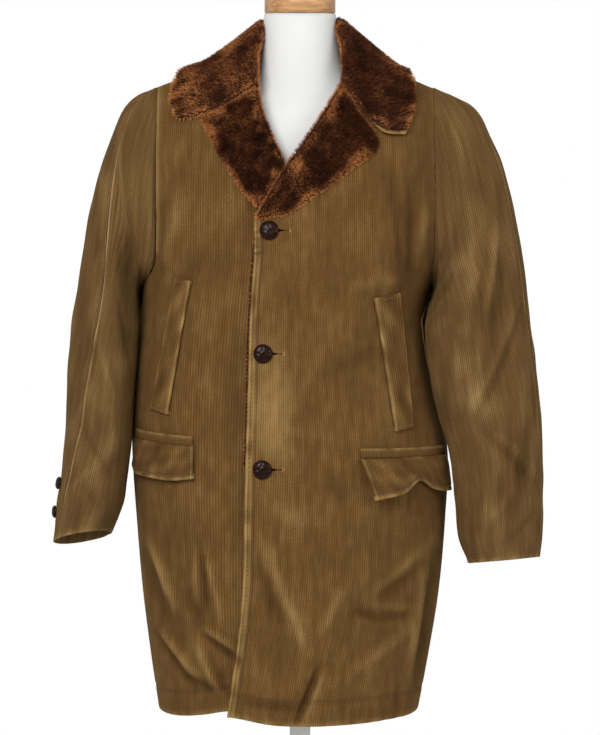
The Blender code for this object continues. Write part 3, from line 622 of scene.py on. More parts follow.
class Shades:
    """The nodes of one material, with short ways to add and join them."""

    def __init__(self, name: str) -> None:
        """Starts a material with a Principled shader.

        Args:
            name: The material's name.
        """
        self.material = bpy.data.materials.new(name)
        self.material.use_nodes = True
        self.tree = self.material.node_tree
        self.shader = self.tree.nodes["Principled BSDF"]

    def add(self, kind: str, **settings: object) -> bpy.types.Node:
        """Adds a node and sets its properties.

        Args:
            kind: The node's type.
            settings: Its properties.

        Returns:
            The node.
        """
        node = self.tree.nodes.new(kind)
        for key, value in settings.items():
            setattr(node, key, value)
        return node

    def join(self, source: Socket, target: Socket) -> None:
        """Links two sockets."""
        self.tree.links.new(source, target)

    def cloth(self, scale: tuple[float, float, float] = (1.0, 1.0, 1.0)) -> Socket:
        """Places on the flat cloth, scaled along and across it."""
        where = self.add("ShaderNodeUVMap", uv_map="cloth")
        return self.stretched(where.outputs["UV"], scale)

    def place(self, scale: tuple[float, float, float] = (1.0, 1.0, 1.0)) -> Socket:
        """Places in the part's frame, scaled along each axis."""
        where = self.add("ShaderNodeTexCoord")
        return self.stretched(where.outputs["Object"], scale)

    def stretched(
        self, vector: Socket, scale: tuple[float, float, float]
    ) -> Socket:
        """A vector scaled along each axis.

        Args:
            vector: The vector's socket.
            scale: Factors for its axes.

        Returns:
            The scaled vector's socket.
        """
        mapping = self.add("ShaderNodeMapping")
        mapping.inputs["Scale"].default_value = scale
        self.join(vector, mapping.inputs["Vector"])
        return mapping.outputs["Vector"]

    def attribute(self, name: str) -> Socket:
        """A value that the mesh holds at each point."""
        return self.add("ShaderNodeAttribute", attribute_name=name).outputs["Fac"]

    def noise(self, vector: Socket, scale: float, detail: float = 3.0) -> Socket:
        """Uneven clouds between 0 and 1.

        Args:
            vector: Where it is read.
            scale: How fine it is.
            detail: How many finer layers it has.

        Returns:
            The value's socket.
        """
        node = self.add("ShaderNodeTexNoise")
        node.inputs["Scale"].default_value = scale
        node.inputs["Detail"].default_value = detail
        self.join(vector, node.inputs["Vector"])
        return node.outputs["Fac"]

    def sum(self, *terms: tuple[Socket, float]) -> Socket:
        """Adds up values, each times a factor.

        Args:
            terms: Pairs of a value and its factor.

        Returns:
            The sum's socket.
        """
        total = None
        for source, factor in terms:
            scaled = self.add("ShaderNodeMath", operation="MULTIPLY_ADD")
            self.join(source, scaled.inputs[0])
            scaled.inputs[1].default_value = factor
            scaled.inputs[2].default_value = 0.0
            if total is not None:
                self.join(total, scaled.inputs[2])
            total = scaled.outputs[0]
        return total

    def ramp(self, fac: Socket, stops: tuple) -> Socket:
        """Colours at stops along a value.

        Args:
            fac: The value.
            stops: Pairs of a place from 0 to 1 and an sRGB colour from 0 to 255.

        Returns:
            The colour's socket.
        """
        node = self.add("ShaderNodeValToRGB")
        points = node.color_ramp.elements
        while len(points) < len(stops):
            points.new(0.5)
        for point, (at, rgb) in zip(points, stops):
            point.position = at
            point.color = (*linear(rgb), 1.0)
        self.join(fac, node.inputs["Fac"])
        return node.outputs["Color"]

    def colour(self, fac: Socket, *stops: tuple) -> None:
        """Colours the shader at stops along a value."""
        self.join(self.ramp(fac, stops), self.shader.inputs["Base Color"])

    def bump(self, height: Socket, distance: float, strength: float = 1.0) -> None:
        """Small relief on the shader.

        Args:
            height: The relief's socket.
            distance: Its height in metres.
            strength: How much of it shows.
        """
        node = self.add("ShaderNodeBump")
        node.inputs["Distance"].default_value = distance
        node.inputs["Strength"].default_value = strength
        self.join(height, node.inputs["Height"])
        self.join(node.outputs["Normal"], self.shader.inputs["Normal"])

    def set(self, **values: float | tuple) -> None:
        """Sets the shader's own sockets, named with underscores for spaces."""
        for key, value in values.items():
            self.shader.inputs[key.replace("_", " ")].default_value = value


def linear(rgb: Rgb) -> tuple[float, ...]:
    """An sRGB colour from 0 to 255 as linear light."""
    share = np.asarray(rgb, float) / 255
    return tuple(np.where(share <= 0.04045, share / 12.92, ((share + 0.055) / 1.055) ** 2.4))


@dataclass(frozen=True)
class Corduroy:
    """Ribbed cotton with a nap that wears pale."""

    name: str
    deep: Rgb
    plain: Rgb
    pale: Rgb

    def make(self) -> bpy.types.Material:
        """Makes wear with painted light and shade, streaks along the wales, tufts and a soft sheen.

        Returns:
            The material.
        """
        s = Shades(self.name)
        streak = s.noise(s.cloth((360.0, 26.0, 1.0)), 1.0, 2.0)
        cloud = s.noise(s.cloth(), 16.0, 4.0)
        tuft = s.noise(s.cloth((700.0, 420.0, 1.0)), 1.0, 2.0)
        # The mesh's attribute carries painted light and shade along with wear and tone.
        worn = s.sum((s.attribute("wear"), 0.34), (streak, 0.18), (cloud, 0.18), (tuft, 0.22))
        s.colour(worn, (0.02, self.deep), (0.29, self.plain), (0.66, self.pale))
        s.bump(s.sum((tuft, 0.6), (streak, 0.4)), 0.0004, 0.7)
        s.set(Roughness=0.95, Sheen_Weight=0.10, Sheen_Roughness=0.5)
        s.set(Sheen_Tint=(*linear((214, 178, 120)), 1.0), Specular_IOR_Level=0.06)
        return s.material


@dataclass(frozen=True)
class Fur:
    """Dark red-brown pile, lighter at its tips."""

    name: str
    root: Rgb
    body: Rgb
    tip: Rgb

    def make(self) -> bpy.types.Material:
        """Makes a tone for each strand, from root to tip.

        Returns:
            The material.
        """
        s = Shades(self.name)
        cloud = s.noise(s.place(), 60.0, 3.0)
        # The mesh's attribute carries each strand's tone, with painted light along the pelts' edges and end
        # rows.
        tone = s.sum((s.attribute("wear"), 1.0), (cloud, 0.18))
        s.colour(tone, (0.06, self.root), (0.5, self.body), (1.0, self.tip))
        s.set(Roughness=0.7, Specular_IOR_Level=0.08)
        return s.material


@dataclass(frozen=True)
class Leather:
    """Dark polished leather with a fine grain."""

    name: str
    dark: Rgb
    light: Rgb

    def make(self) -> bpy.types.Material:
        """Makes mottled colour, grain and a gloss.

        Returns:
            The material.
        """
        s = Shades(self.name)
        mottled = s.noise(s.place(), 260.0, 4.0)
        grain = s.noise(s.place(), 1500.0, 2.0)
        s.colour(mottled, (0.3, self.dark), (0.75, self.light))
        s.bump(grain, 0.0002, 0.2)
        s.set(Roughness=0.24, Specular_IOR_Level=0.10)
        return s.material


@dataclass(frozen=True)
class Jersey:
    """White knitted cover, stretched smooth."""

    name: str
    shade: Rgb
    light: Rgb

    def make(self) -> bpy.types.Material:
        """Makes faint clouds and a fine knit.

        Returns:
            The material.
        """
        s = Shades(self.name)
        cloud = s.noise(s.place(), 9.0, 3.0)
        knit = s.noise(s.place((900.0, 900.0, 600.0)), 1.0, 2.0)
        mixed = s.sum((cloud, 0.7), (knit, 0.3))
        s.colour(mixed, (0.25, self.shade), (0.7, self.light))
        s.bump(knit, 0.0003, 0.35)
        s.set(Roughness=0.85, Sheen_Weight=0.1, Specular_IOR_Level=0.25)
        return s.material


@dataclass(frozen=True)
class Oak:
    """Varnished turned oak."""

    name: str
    dark: Rgb
    plain: Rgb
    light: Rgb

    def make(self) -> bpy.types.Material:
        """Makes grain that runs across the cap, with pores and a varnish.

        Returns:
            The material.
        """
        s = Shades(self.name)
        band = s.noise(s.place((14.0, 150.0, 260.0)), 1.0, 5.0)
        pore = s.noise(s.place((60.0, 900.0, 900.0)), 1.0, 2.0)
        grain = s.sum((band, 0.85), (pore, 0.25))
        s.colour(grain, (0.3, self.dark), (0.55, self.plain), (0.8, self.light))
        s.bump(grain, 0.0002, 0.4)
        s.set(Roughness=0.38, Coat_Weight=0.5, Coat_Roughness=0.18)
        return s.material


@dataclass(frozen=True)
class Enamel:
    """White enamel on steel."""

    name: str
    dark: Rgb
    light: Rgb

    def make(self) -> bpy.types.Material:
        """Makes faint clouds and the slight ripple of sprayed paint.

        Returns:
            The material.
        """
        s = Shades(self.name)
        cloud = s.noise(s.place(), 12.0, 3.0)
        ripple = s.noise(s.place(), 320.0, 2.0)
        s.colour(cloud, (0.3, self.dark), (0.7, self.light))
        s.bump(ripple, 0.0002, 0.25)
        s.set(Roughness=0.36, Coat_Weight=0.3, Coat_Roughness=0.2)
        return s.material


@dataclass(frozen=True)
class Thread:
    """Sewing thread."""

    name: str
    colour: Rgb
    light: Rgb

    def make(self) -> bpy.types.Material:
        """Makes twisted fibre in two tones.

        Returns:
            The material.
        """
        s = Shades(self.name)
        twist = s.noise(s.place(), 700.0, 2.0)
        s.colour(twist, (0.3, self.colour), (0.75, self.light))
        s.set(Roughness=0.8, Sheen_Weight=0.2)
        return s.material


Finish = Corduroy | Leather | Jersey | Oak

BODY_CLOTH = Corduroy("corduroy_body", (56, 38, 17), (93, 66, 34), (148, 120, 74))
SLEEVE_CLOTH = Corduroy("corduroy_sleeve", (57, 40, 20), (95, 70, 39), (150, 124, 82))
PILE = Fur("fur_pile", (23, 10, 5), (88, 47, 26), (186, 120, 70))
HIDE = Leather("button_leather", (17, 8, 5), (42, 20, 13))
COVER = Jersey("form_jersey", (199, 199, 197), (213, 213, 211))
CAP_WOOD = Oak("cap_oak", (142, 95, 52), (182, 134, 84), (208, 164, 114))
STAND_ENAMEL = Enamel("stand_enamel", (232, 232, 230), (243, 243, 241))
TOPSTITCH = Thread("topstitch", (88, 62, 31), (138, 104, 58))
HEM_THREAD = Thread("hem_thread", (62, 43, 21), (88, 62, 33))
HOLE_THREAD = Thread("buttonhole_thread", (120, 92, 54), (176, 142, 92))
HOLE_SHADE = Corduroy("buttonhole_shade", (9, 6, 3), (13, 9, 5), (20, 14, 8))


@dataclass
class BodyForm:
    """The worked out surface of the coat's body, which all panels and what lies on them share."""

    hem: float = 0.621
    pit: float = 1.190
    yoke: float = 1.230
    ridge: float = 1.526
    square: float = 2.4
    neck_point: float = 0.071
    back_neck: float = 1.474
    tuck: float = 0.0085
    tuck_before: float = 0.034
    tuck_run: float = 0.026
    break_height: float = 1.285
    side_seam: float = math.pi / 2 - 0.0006
    hem_corner: float = 0.045
    hem_under: float = 0.120
    hem_side: float = 0.003
    fine_steps: int = 401
    fall: dict[Arm, float] = field(default_factory=lambda: {Arm.LEFT: 0.40, Arm.RIGHT: 0.365})
    arm_line: dict[Arm, float] = field(default_factory=lambda: {Arm.LEFT: 0.178, Arm.RIGHT: 0.190})
    hem_lift: dict[Arm, float] = field(default_factory=lambda: {Arm.LEFT: 0.0105, Arm.RIGHT: 0.016})
    sections: tuple[Section, ...] = (
        Section(0.620, 0.190, 0.159, 0.172, 0.165, 0.010),
        Section(0.690, 0.2005, 0.1725, 0.170, 0.163, 0.014),
        Section(0.770, 0.211, 0.186, 0.168, 0.160, 0.020),
        Section(0.875, 0.2204, 0.196, 0.166, 0.158, 0.026),
        Section(0.970, 0.2265, 0.199, 0.163, 0.156, 0.030),
        Section(1.060, 0.2255, 0.1795, 0.160, 0.154, 0.030),
        Section(1.170, 0.2130, 0.1695, 0.154, 0.150, 0.026),
        Section(1.230, 0.208, 0.190, 0.150, 0.147, 0.016),
        Section(1.300, 0.210, 0.201, 0.145, 0.143, 0.004),
        Section(1.360, 0.212, 0.206, 0.143, 0.141, 0.000),
    )
    edge_left: tuple[Edge, ...] = (
        Edge(0.620, -0.094),
        Edge(0.657, -0.089),
        Edge(0.722, -0.080),
        Edge(0.787, -0.074),
        Edge(0.916, -0.071),
        Edge(1.046, -0.067),
        Edge(1.175, -0.063),
        Edge(1.285, -0.054),
    )
    edge_right: tuple[Edge, ...] = (Edge(0.620, -0.010), Edge(1.285, 0.012))
    roll_left: tuple[Edge, ...] = (
        Edge(1.285, -0.054),
        Edge(1.347, -0.018),
        Edge(1.410, 0.025),
        Edge(1.466, 0.058),
        Edge(1.4976, 0.071),
    )
    roll_right: tuple[Edge, ...] = (
        Edge(1.285, 0.012),
        Edge(1.347, -0.018),
        Edge(1.413, -0.047),
        Edge(1.466, -0.060),
        Edge(1.4976, -0.071),
    )
    front_folds: tuple[Fold, ...] = (
        Fold(-0.200, 0.815, -0.125, 0.640, 0.014, -0.006),
        Fold(-0.130, 0.745, -0.075, 0.708, 0.010, -0.004),
        Fold(-0.116, 0.860, -0.118, 0.720, 0.014, 0.005),
        Fold(0.134, 1.390, 0.132, 1.150, 0.013, 0.007),
        Fold(0.060, 0.768, 0.150, 0.755, 0.011, -0.004),
        Fold(0.186, 0.848, 0.030, 0.780, 0.018, 0.005),
        Fold(0.034, 0.705, -0.008, 0.600, 0.014, -0.006),
        Fold(-0.070, 0.890, 0.004, 0.720, 0.016, 0.004),
    )
    back_folds: tuple[Fold, ...] = (
        Fold(-0.105, 1.080, -0.120, 0.560, 0.030, 0.008),
        Fold(0.012, 1.020, 0.020, 0.560, 0.026, 0.006),
        Fold(0.112, 1.060, 0.118, 0.560, 0.030, 0.008),
        Fold(-0.150, 1.330, -0.060, 1.120, 0.022, 0.006),
        Fold(0.140, 1.340, 0.050, 1.110, 0.022, 0.006),
    )

    @staticmethod
    def fold_height(folds: tuple[Fold, ...], x: Array, z: Array) -> Array:
        """Adds up folds at places seen from the front or back.

        Args:
            folds: The folds.
            x: Places across the body.
            z: Heights.

        Returns:
            Their height at each place.
        """
        total = np.zeros(np.broadcast(x, z).shape)
        for fold in folds:
            run = np.array([fold.x2 - fold.x1, fold.z2 - fold.z1])
            length = math.hypot(*run)
            along = ((x - fold.x1) * run[0] + (z - fold.z1) * run[1]) / length**2
            across = ((x - fold.x1) * run[1] - (z - fold.z1) * run[0]) / length
            taper = np.sin(math.pi * np.clip(along, 0, 1)) ** 0.7
            total = total + fold.height * taper * np.exp(-((across / fold.width) ** 2))
        return total

    def width_at(self, z: Array | float) -> tuple[Array, Array]:
        """Middle and half width at a height.

        Args:
            z: Heights.

        Returns:
            The middle's x and half the width.
        """
        right = read(self.sections, "right", z)
        left = read(self.sections, "left", z)
        return (left - right) / 2, (left + right) / 2

    def shoulder_line(self, x: Array | float) -> Array:
        """Height of the shoulder seam over a place across the body."""
        fall = np.where(np.asarray(x) > 0, self.fall[Arm.LEFT], self.fall[Arm.RIGHT])
        return self.ridge - fall * np.abs(x)

    def wall_y(self, x: Array, z: Array, back: bool = False) -> Array:
        """Depth of the body's outer face at places seen from the front or back.

        Args:
            x: Places across the body.
            z: Heights.
            back: Whether they are on the back.

        Returns:
            The depths along Y.
        """
        middle, half = self.width_at(z)
        share = np.clip(np.abs(x - middle) / half, 0, 1)
        side = read(self.sections, "side", z)
        if back:
            depth = read(self.sections, "back", z) - side
        else:
            depth = read(self.sections, "front", z) + side
        up = np.sqrt(1 - np.clip((z - self.yoke) / (self.shoulder_line(x) - self.yoke), 0, 1) ** 2)
        depth = depth * (1 - share**self.square) ** (1 / self.square) * up
        raised = self.fold_height(self.back_folds if back else self.front_folds, x, z)
        depth = depth + raised * ease((1 - share) / 0.25)
        return side * up + (depth if back else -depth)

    def x_at(self, angle: Array, z: Array | float) -> Array:
        """Place across the body of an angle, 0 at the middle and 90 degrees at the side seams.

        Args:
            angle: The angles.
            z: Heights.

        Returns:
            The places.
        """
        middle, half = self.width_at(z)
        s = np.sin(angle)
        return middle + half * np.sign(s) * np.abs(s) ** (2 / self.square)

    def angle_at(self, x: Array | float, z: Array | float) -> Array:
        """Angle of a place across the body.

        Args:
            x: Places across the body.
            z: Heights.

        Returns:
            The angles.
        """
        middle, half = self.width_at(z)
        share = np.clip((x - middle) / half, -1, 1)
        return np.arcsin(np.sign(share) * np.abs(share) ** (self.square / 2))

    def point(self, x: Array, z: Array, back: bool = False) -> Array:
        """Points on the front or back."""
        return np.stack(np.broadcast_arrays(x, self.wall_y(x, z, back), z), axis=-1)

    def normal(self, x: Array, z: Array, back: bool = False) -> Array:
        """Outward directions on the front or back.

        Args:
            x: Places across the body.
            z: Heights.
            back: Whether they are on the back.

        Returns:
            Vectors of length one.
        """
        step = 0.0012
        slope_x = (self.wall_y(x + step, z, back) - self.wall_y(x - step, z, back)) / (2 * step)
        slope_z = (self.wall_y(x, z + step, back) - self.wall_y(x, z - step, back)) / (2 * step)
        flat = np.stack([slope_x, -np.ones_like(slope_x), slope_z], axis=-1)
        return unit(-flat if back else flat)

    def lying(self, places: Array, lift: Array | float) -> Array:
        """Puts places seen from the front on the front of the body, moved out.

        Args:
            places: Rows of x and z.
            lift: How far out they are.

        Returns:
            The points.
        """
        x, z = np.moveaxis(places, -1, 0)
        lift = np.broadcast_to(lift, x.shape)
        return self.point(x, z) + self.normal(x, z) * lift[..., None]

    def level_line(
        self, z: float, first: float, last: float, back: bool
    ) -> tuple[Array, Array, Array]:
        """Fine steps along a level line.

        Args:
            z: Height of the line.
            first: Angle at its start.
            last: Angle at its end.
            back: Whether the line is on the back.

        Returns:
            The angle, the place across and the length at each step.
        """
        angles = np.linspace(first, last, self.fine_steps)
        x = self.x_at(angles, z)
        wall = self.wall_y(x, np.full_like(x, z), back)
        return angles, x, length_along(np.stack([x, wall], axis=-1))

    def level_angles(
        self, z: float, first: float, last: float, shares: Array, back: bool = False
    ) -> Array:
        """Angles along a level line, spaced evenly by length of cloth.

        Args:
            z: Height of the line.
            first: Angle at its start.
            last: Angle at its end.
            shares: Shares of its length.
            back: Whether the line is on the back.

        Returns:
            The angles.
        """
        angles, _, length = self.level_line(z, first, last, back)
        return np.interp(shares * length[-1], length, angles)

    def share_of(self, x: float, first: float, last: float, back: bool = False) -> float:
        """Share of the yoke line's length at which it passes x.

        Args:
            x: Place across the body.
            first: Angle at the line's start.
            last: Angle at its end.
            back: Whether it is on the back.

        Returns:
            The share, from 0 to 1.
        """
        _, xs, length = self.level_line(self.yoke, first, last, back)
        order = np.argsort(xs)
        return float(np.interp(x, xs[order], length[order]) / length[-1])

    def pit_row(self, shares: Array, arm_share: float) -> Array:
        """Height of the yoke line, which drops round the armhole to the side seam.

        Args:
            shares: Shares of the line's length.
            arm_share: Share at which the armhole begins.

        Returns:
            The heights.
        """
        past = np.clip((1 - shares) / (1 - arm_share), 0, 1)
        drop = self.yoke - self.pit
        return np.where(shares <= arm_share, self.yoke, self.pit + drop * (1 - np.sqrt(1 - past**2)))

    def front_edge(self, arm: Arm) -> tuple[tuple[Edge, ...], tuple[Edge, ...]]:
        """Front edge and roll line of a front.

        Args:
            arm: Which front.

        Returns:
            The edge and the roll line.
        """
        if arm is Arm.LEFT:
            return self.edge_left, self.roll_left
        return self.edge_right, self.roll_right

    def tuck_in(self, x: Array, z: Array) -> Array:
        """How far the under front lies behind the other one.

        Args:
            x: Places across the body.
            z: Heights.

        Returns:
            The distances along Y.
        """
        low = read(self.edge_left, "x", z)
        edge = np.where(z < self.break_height, low, read(self.roll_left, "x", z))
        return self.tuck * ease((x - edge + self.tuck_before) / self.tuck_run)

    def front_hem(self, arm: Arm, x: Array) -> Array:
        """Height of a front's hem.

        Args:
            arm: Which front.
            x: Places across the body.

        Returns:
            The heights.
        """
        if arm is Arm.LEFT:
            corner = np.exp(-(((x - self.edge_left[0].x) / self.hem_corner) ** 2))
            side = self.hem_side * ease(x / self.sections[0].left)
            return self.hem + self.hem_lift[arm] * corner + side
        under = ease((x + self.sections[0].right) / self.hem_under)
        return self.hem + self.hem_side + self.hem_lift[arm] * under

    def front_blocks(self, arm: Arm, columns: int, rows: tuple[int, int]) -> list[Array]:
        """Skirt and yoke of a front, as rows of places seen from the front.

        Args:
            arm: Which front.
            columns: Columns of cloth, from the front edge to the side seam.
            rows: Rows below and above the yoke line.

        Returns:
            Two arrays of x and z.
        """
        edge, roll = self.front_edge(arm)
        last = arm.value * self.side_seam
        first = float(self.angle_at(read(edge, "x", self.yoke), self.yoke))
        arm_share = self.share_of(arm.value * self.arm_line[arm], first, last)
        inner = WALE_COLUMNS * round(columns * arm_share / WALE_COLUMNS)
        shares = np.concatenate([
            np.linspace(0, arm_share, inner + 1),
            np.linspace(arm_share, 1, columns - inner + 1)[1:],
        ])
        skirt = []
        for level in np.linspace(0, 1, rows[0] + 1):
            flat = self.hem + (self.yoke - self.hem) * level
            first = float(self.angle_at(read(edge, "x", flat), flat))
            angles = self.level_angles(flat, first, last, shares)
            hem = self.front_hem(arm, self.x_at(angles, flat))
            z = hem + (self.pit_row(shares, arm_share) - hem) * level
            skirt.append(np.stack([self.x_at(angles, z), z], axis=-1))
        skirt = np.array(skirt)
        x = skirt[-1, : inner + 1, 0]
        side = arm.value
        roll_top = np.interp(side * x, [side * row.x for row in roll], [row.height for row in roll])
        ridge = self.shoulder_line(x)
        top = np.where(side * x < self.neck_point, np.minimum(roll_top, ridge), ridge)
        return [skirt, self.yoke_rows(x, top, rows[1])]

    def yoke_rows(self, x: Array, top: Array, rows: int) -> Array:
        """Rows from the yoke line up to the given heights, closer where the wall leans over.

        Args:
            x: Places across the body.
            top: Heights of the last row.
            rows: Rows of points, less one.

        Returns:
            Rows of x and z.
        """
        ridge = self.shoulder_line(x)
        reach = np.arcsin(np.clip((top - self.yoke) / (ridge - self.yoke), 0, 1))
        levels = np.linspace(0, 1, rows + 1)[:, None]
        z = self.yoke + (ridge - self.yoke) * np.sin(reach * levels)
        return np.stack(np.broadcast_arrays(x, z), axis=-1)

    def back_blocks(self, columns: int, rows: tuple[int, int]) -> list[Array]:
        """Skirt and yoke of the back, from the right side seam to the left one.

        Args:
            columns: Columns of cloth.
            rows: Rows below and above the yoke line.

        Returns:
            Two arrays of x and z.
        """
        seam = self.side_seam
        right = self.share_of(-self.arm_line[Arm.RIGHT], -seam, seam, back=True)
        left = self.share_of(self.arm_line[Arm.LEFT], -seam, seam, back=True)
        first = WALE_COLUMNS * round(columns * right / WALE_COLUMNS)
        second = WALE_COLUMNS * round(columns * left / WALE_COLUMNS)
        shares = np.concatenate([
            np.linspace(0, right, first + 1),
            np.linspace(right, left, second - first + 1)[1:],
            np.linspace(left, 1, columns - second + 1)[1:],
        ])
        half = np.abs(2 * shares - 1)
        low = self.hem + self.hem_side
        top = np.where(shares < 0.5, self.pit_row(half, 1 - 2 * right), self.pit_row(half, 2 * left - 1))
        skirt = []
        for level in np.linspace(0, 1, rows[0] + 1):
            flat = self.hem + (self.yoke - self.hem) * level
            angles = self.level_angles(flat, -seam, seam, shares, back=True)
            z = low + (top - low) * level
            skirt.append(np.stack([self.x_at(angles, z), z], axis=-1))
        skirt = np.array(skirt)
        x = skirt[-1, first : second + 1, 0]
        ridge = self.shoulder_line(x)
        rise = self.shoulder_line(self.neck_point) - self.back_neck
        neck = self.back_neck + rise * (x / self.neck_point) ** 4
        crest = np.where(np.abs(x) < self.neck_point, np.minimum(neck, ridge), ridge)
        return [skirt, self.yoke_rows(x, crest, rows[1])]

    def armhole(self, arm: Arm, back: bool) -> Array:
        """The edge of a front or back at an armhole, from the shoulder seam down to the side seam.

        Args:
            arm: Which armhole.
            back: Whether it is the back's edge.

        Returns:
            The points.
        """
        columns = 180
        if back:
            skirt, yoke = self.back_blocks(columns, (8, 40))
            line = self.arm_line[arm]
            upper = yoke[::-1, -1 if arm is Arm.LEFT else 0]
            row = skirt[-1] if arm is Arm.LEFT else skirt[-1, ::-1]
            lower = row[arm.value * row[:, 0] > line + 0.0002]
        else:
            skirt, yoke = self.front_blocks(arm, columns, (8, 40))
            upper = yoke[::-1, -1]
            lower = skirt[-1, yoke.shape[1] :]
        places = np.concatenate([upper, lower])
        return self.point(places[:, 0], places[:, 1], back)


@dataclass
class Sewn:
    """A line of stitches on a surface."""

    points: Array
    normals: Array


@dataclass
class Sewing:
    """All the stitches of one thread, gathered into one mesh."""

    name: str
    stitch: float = 0.0034
    gap: float = 0.0009
    radius: float = 0.00042
    spindle: tuple[tuple[float, float, float], ...] = (
        (0.0, -0.3, 0.35),
        (0.25, 0.55, 1.0),
        (0.75, 0.55, 1.0),
        (1.0, -0.3, 0.35),
    )
    lines: list[Sewn] = field(default_factory=list)

    def along(self, points: Array, normals: Array, lift: float = 0.0) -> None:
        """Adds a line of stitches, lifted off the surface."""
        self.lines.append(Sewn(points + normals * lift, normals))

    def build(self, material: bpy.types.Material) -> Piece:
        """Makes all the stitches as spindles that sink into the cloth at their ends.

        Args:
            material: The thread's finish.

        Returns:
            The piece.
        """
        maker = MeshMaker(self.name)
        for line in self.lines:
            length = length_along(line.points)
            count = int(length[-1] / (self.stitch + self.gap))
            if count < 1:
                continue
            starts = (np.arange(count) + 0.5) / count - 0.5 * self.stitch / length[-1]
            rings = []
            for at, lift, size in self.spindle:
                share = np.clip(starts + at * self.stitch / length[-1], 0, 1)
                middle = spread(line.points, share)
                normal = unit(spread(line.normals, share))
                after = spread(line.points, np.clip(share + 0.002, 0, 1))
                ahead = unit(after - spread(line.points, np.clip(share - 0.002, 0, 1)))
                aside = unit(np.cross(normal, ahead))
                middle = middle + normal * self.radius * lift
                corners = [aside, normal, -aside, -normal]
                rings.append(np.stack([middle + c * self.radius * size for c in corners], axis=1))
            block = np.stack(rings, axis=1)
            pairs = [(corner, (corner + 1) % 4) for corner in range(4)]
            walls = [[ring + a, ring + b, ring + 4 + b, ring + 4 + a] for ring in (0, 4, 8) for a, b in pairs]
            ends = [[3, 2, 1, 0], [12, 13, 14, 15]]
            faces = np.array(walls + ends)[None] + (np.arange(count) * 16)[:, None, None]
            points = block.reshape(-1, 3)
            maker.add(points, faces.reshape(-1, 4), np.zeros((len(points), 2)), np.zeros(len(points)))
        return maker.make(material, weld=False)


def dress(piece: Piece, slot: Slot, *nodes: str) -> Piece:
    """Lets a piece ride on the part, hides the solids it stands for, and reports it.

    Args:
        piece: The piece.
        slot: The record's material slot; not used.
        nodes: Solids that it replaces.

    Returns:
        The piece.
    """
    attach(piece, "root")
    if nodes:
        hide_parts(*nodes)
    LOG.info("%s: %d faces", piece.name, len(piece.data.polygons))
    return piece


def dressed(name: str, grid: Grid, finish: Finish, slot: Slot, *nodes: str) -> Piece:
    """Makes a piece of one grid and dresses it.

    Args:
        name: The piece's name.
        grid: Its points.
        finish: Its finish.
        slot: The record's material slot.
        nodes: Solids that it replaces.

    Returns:
        The piece.
    """
    maker = MeshMaker(name)
    maker.add_grid(grid)
    return dress(maker.make(finish.make()), slot, *nodes)


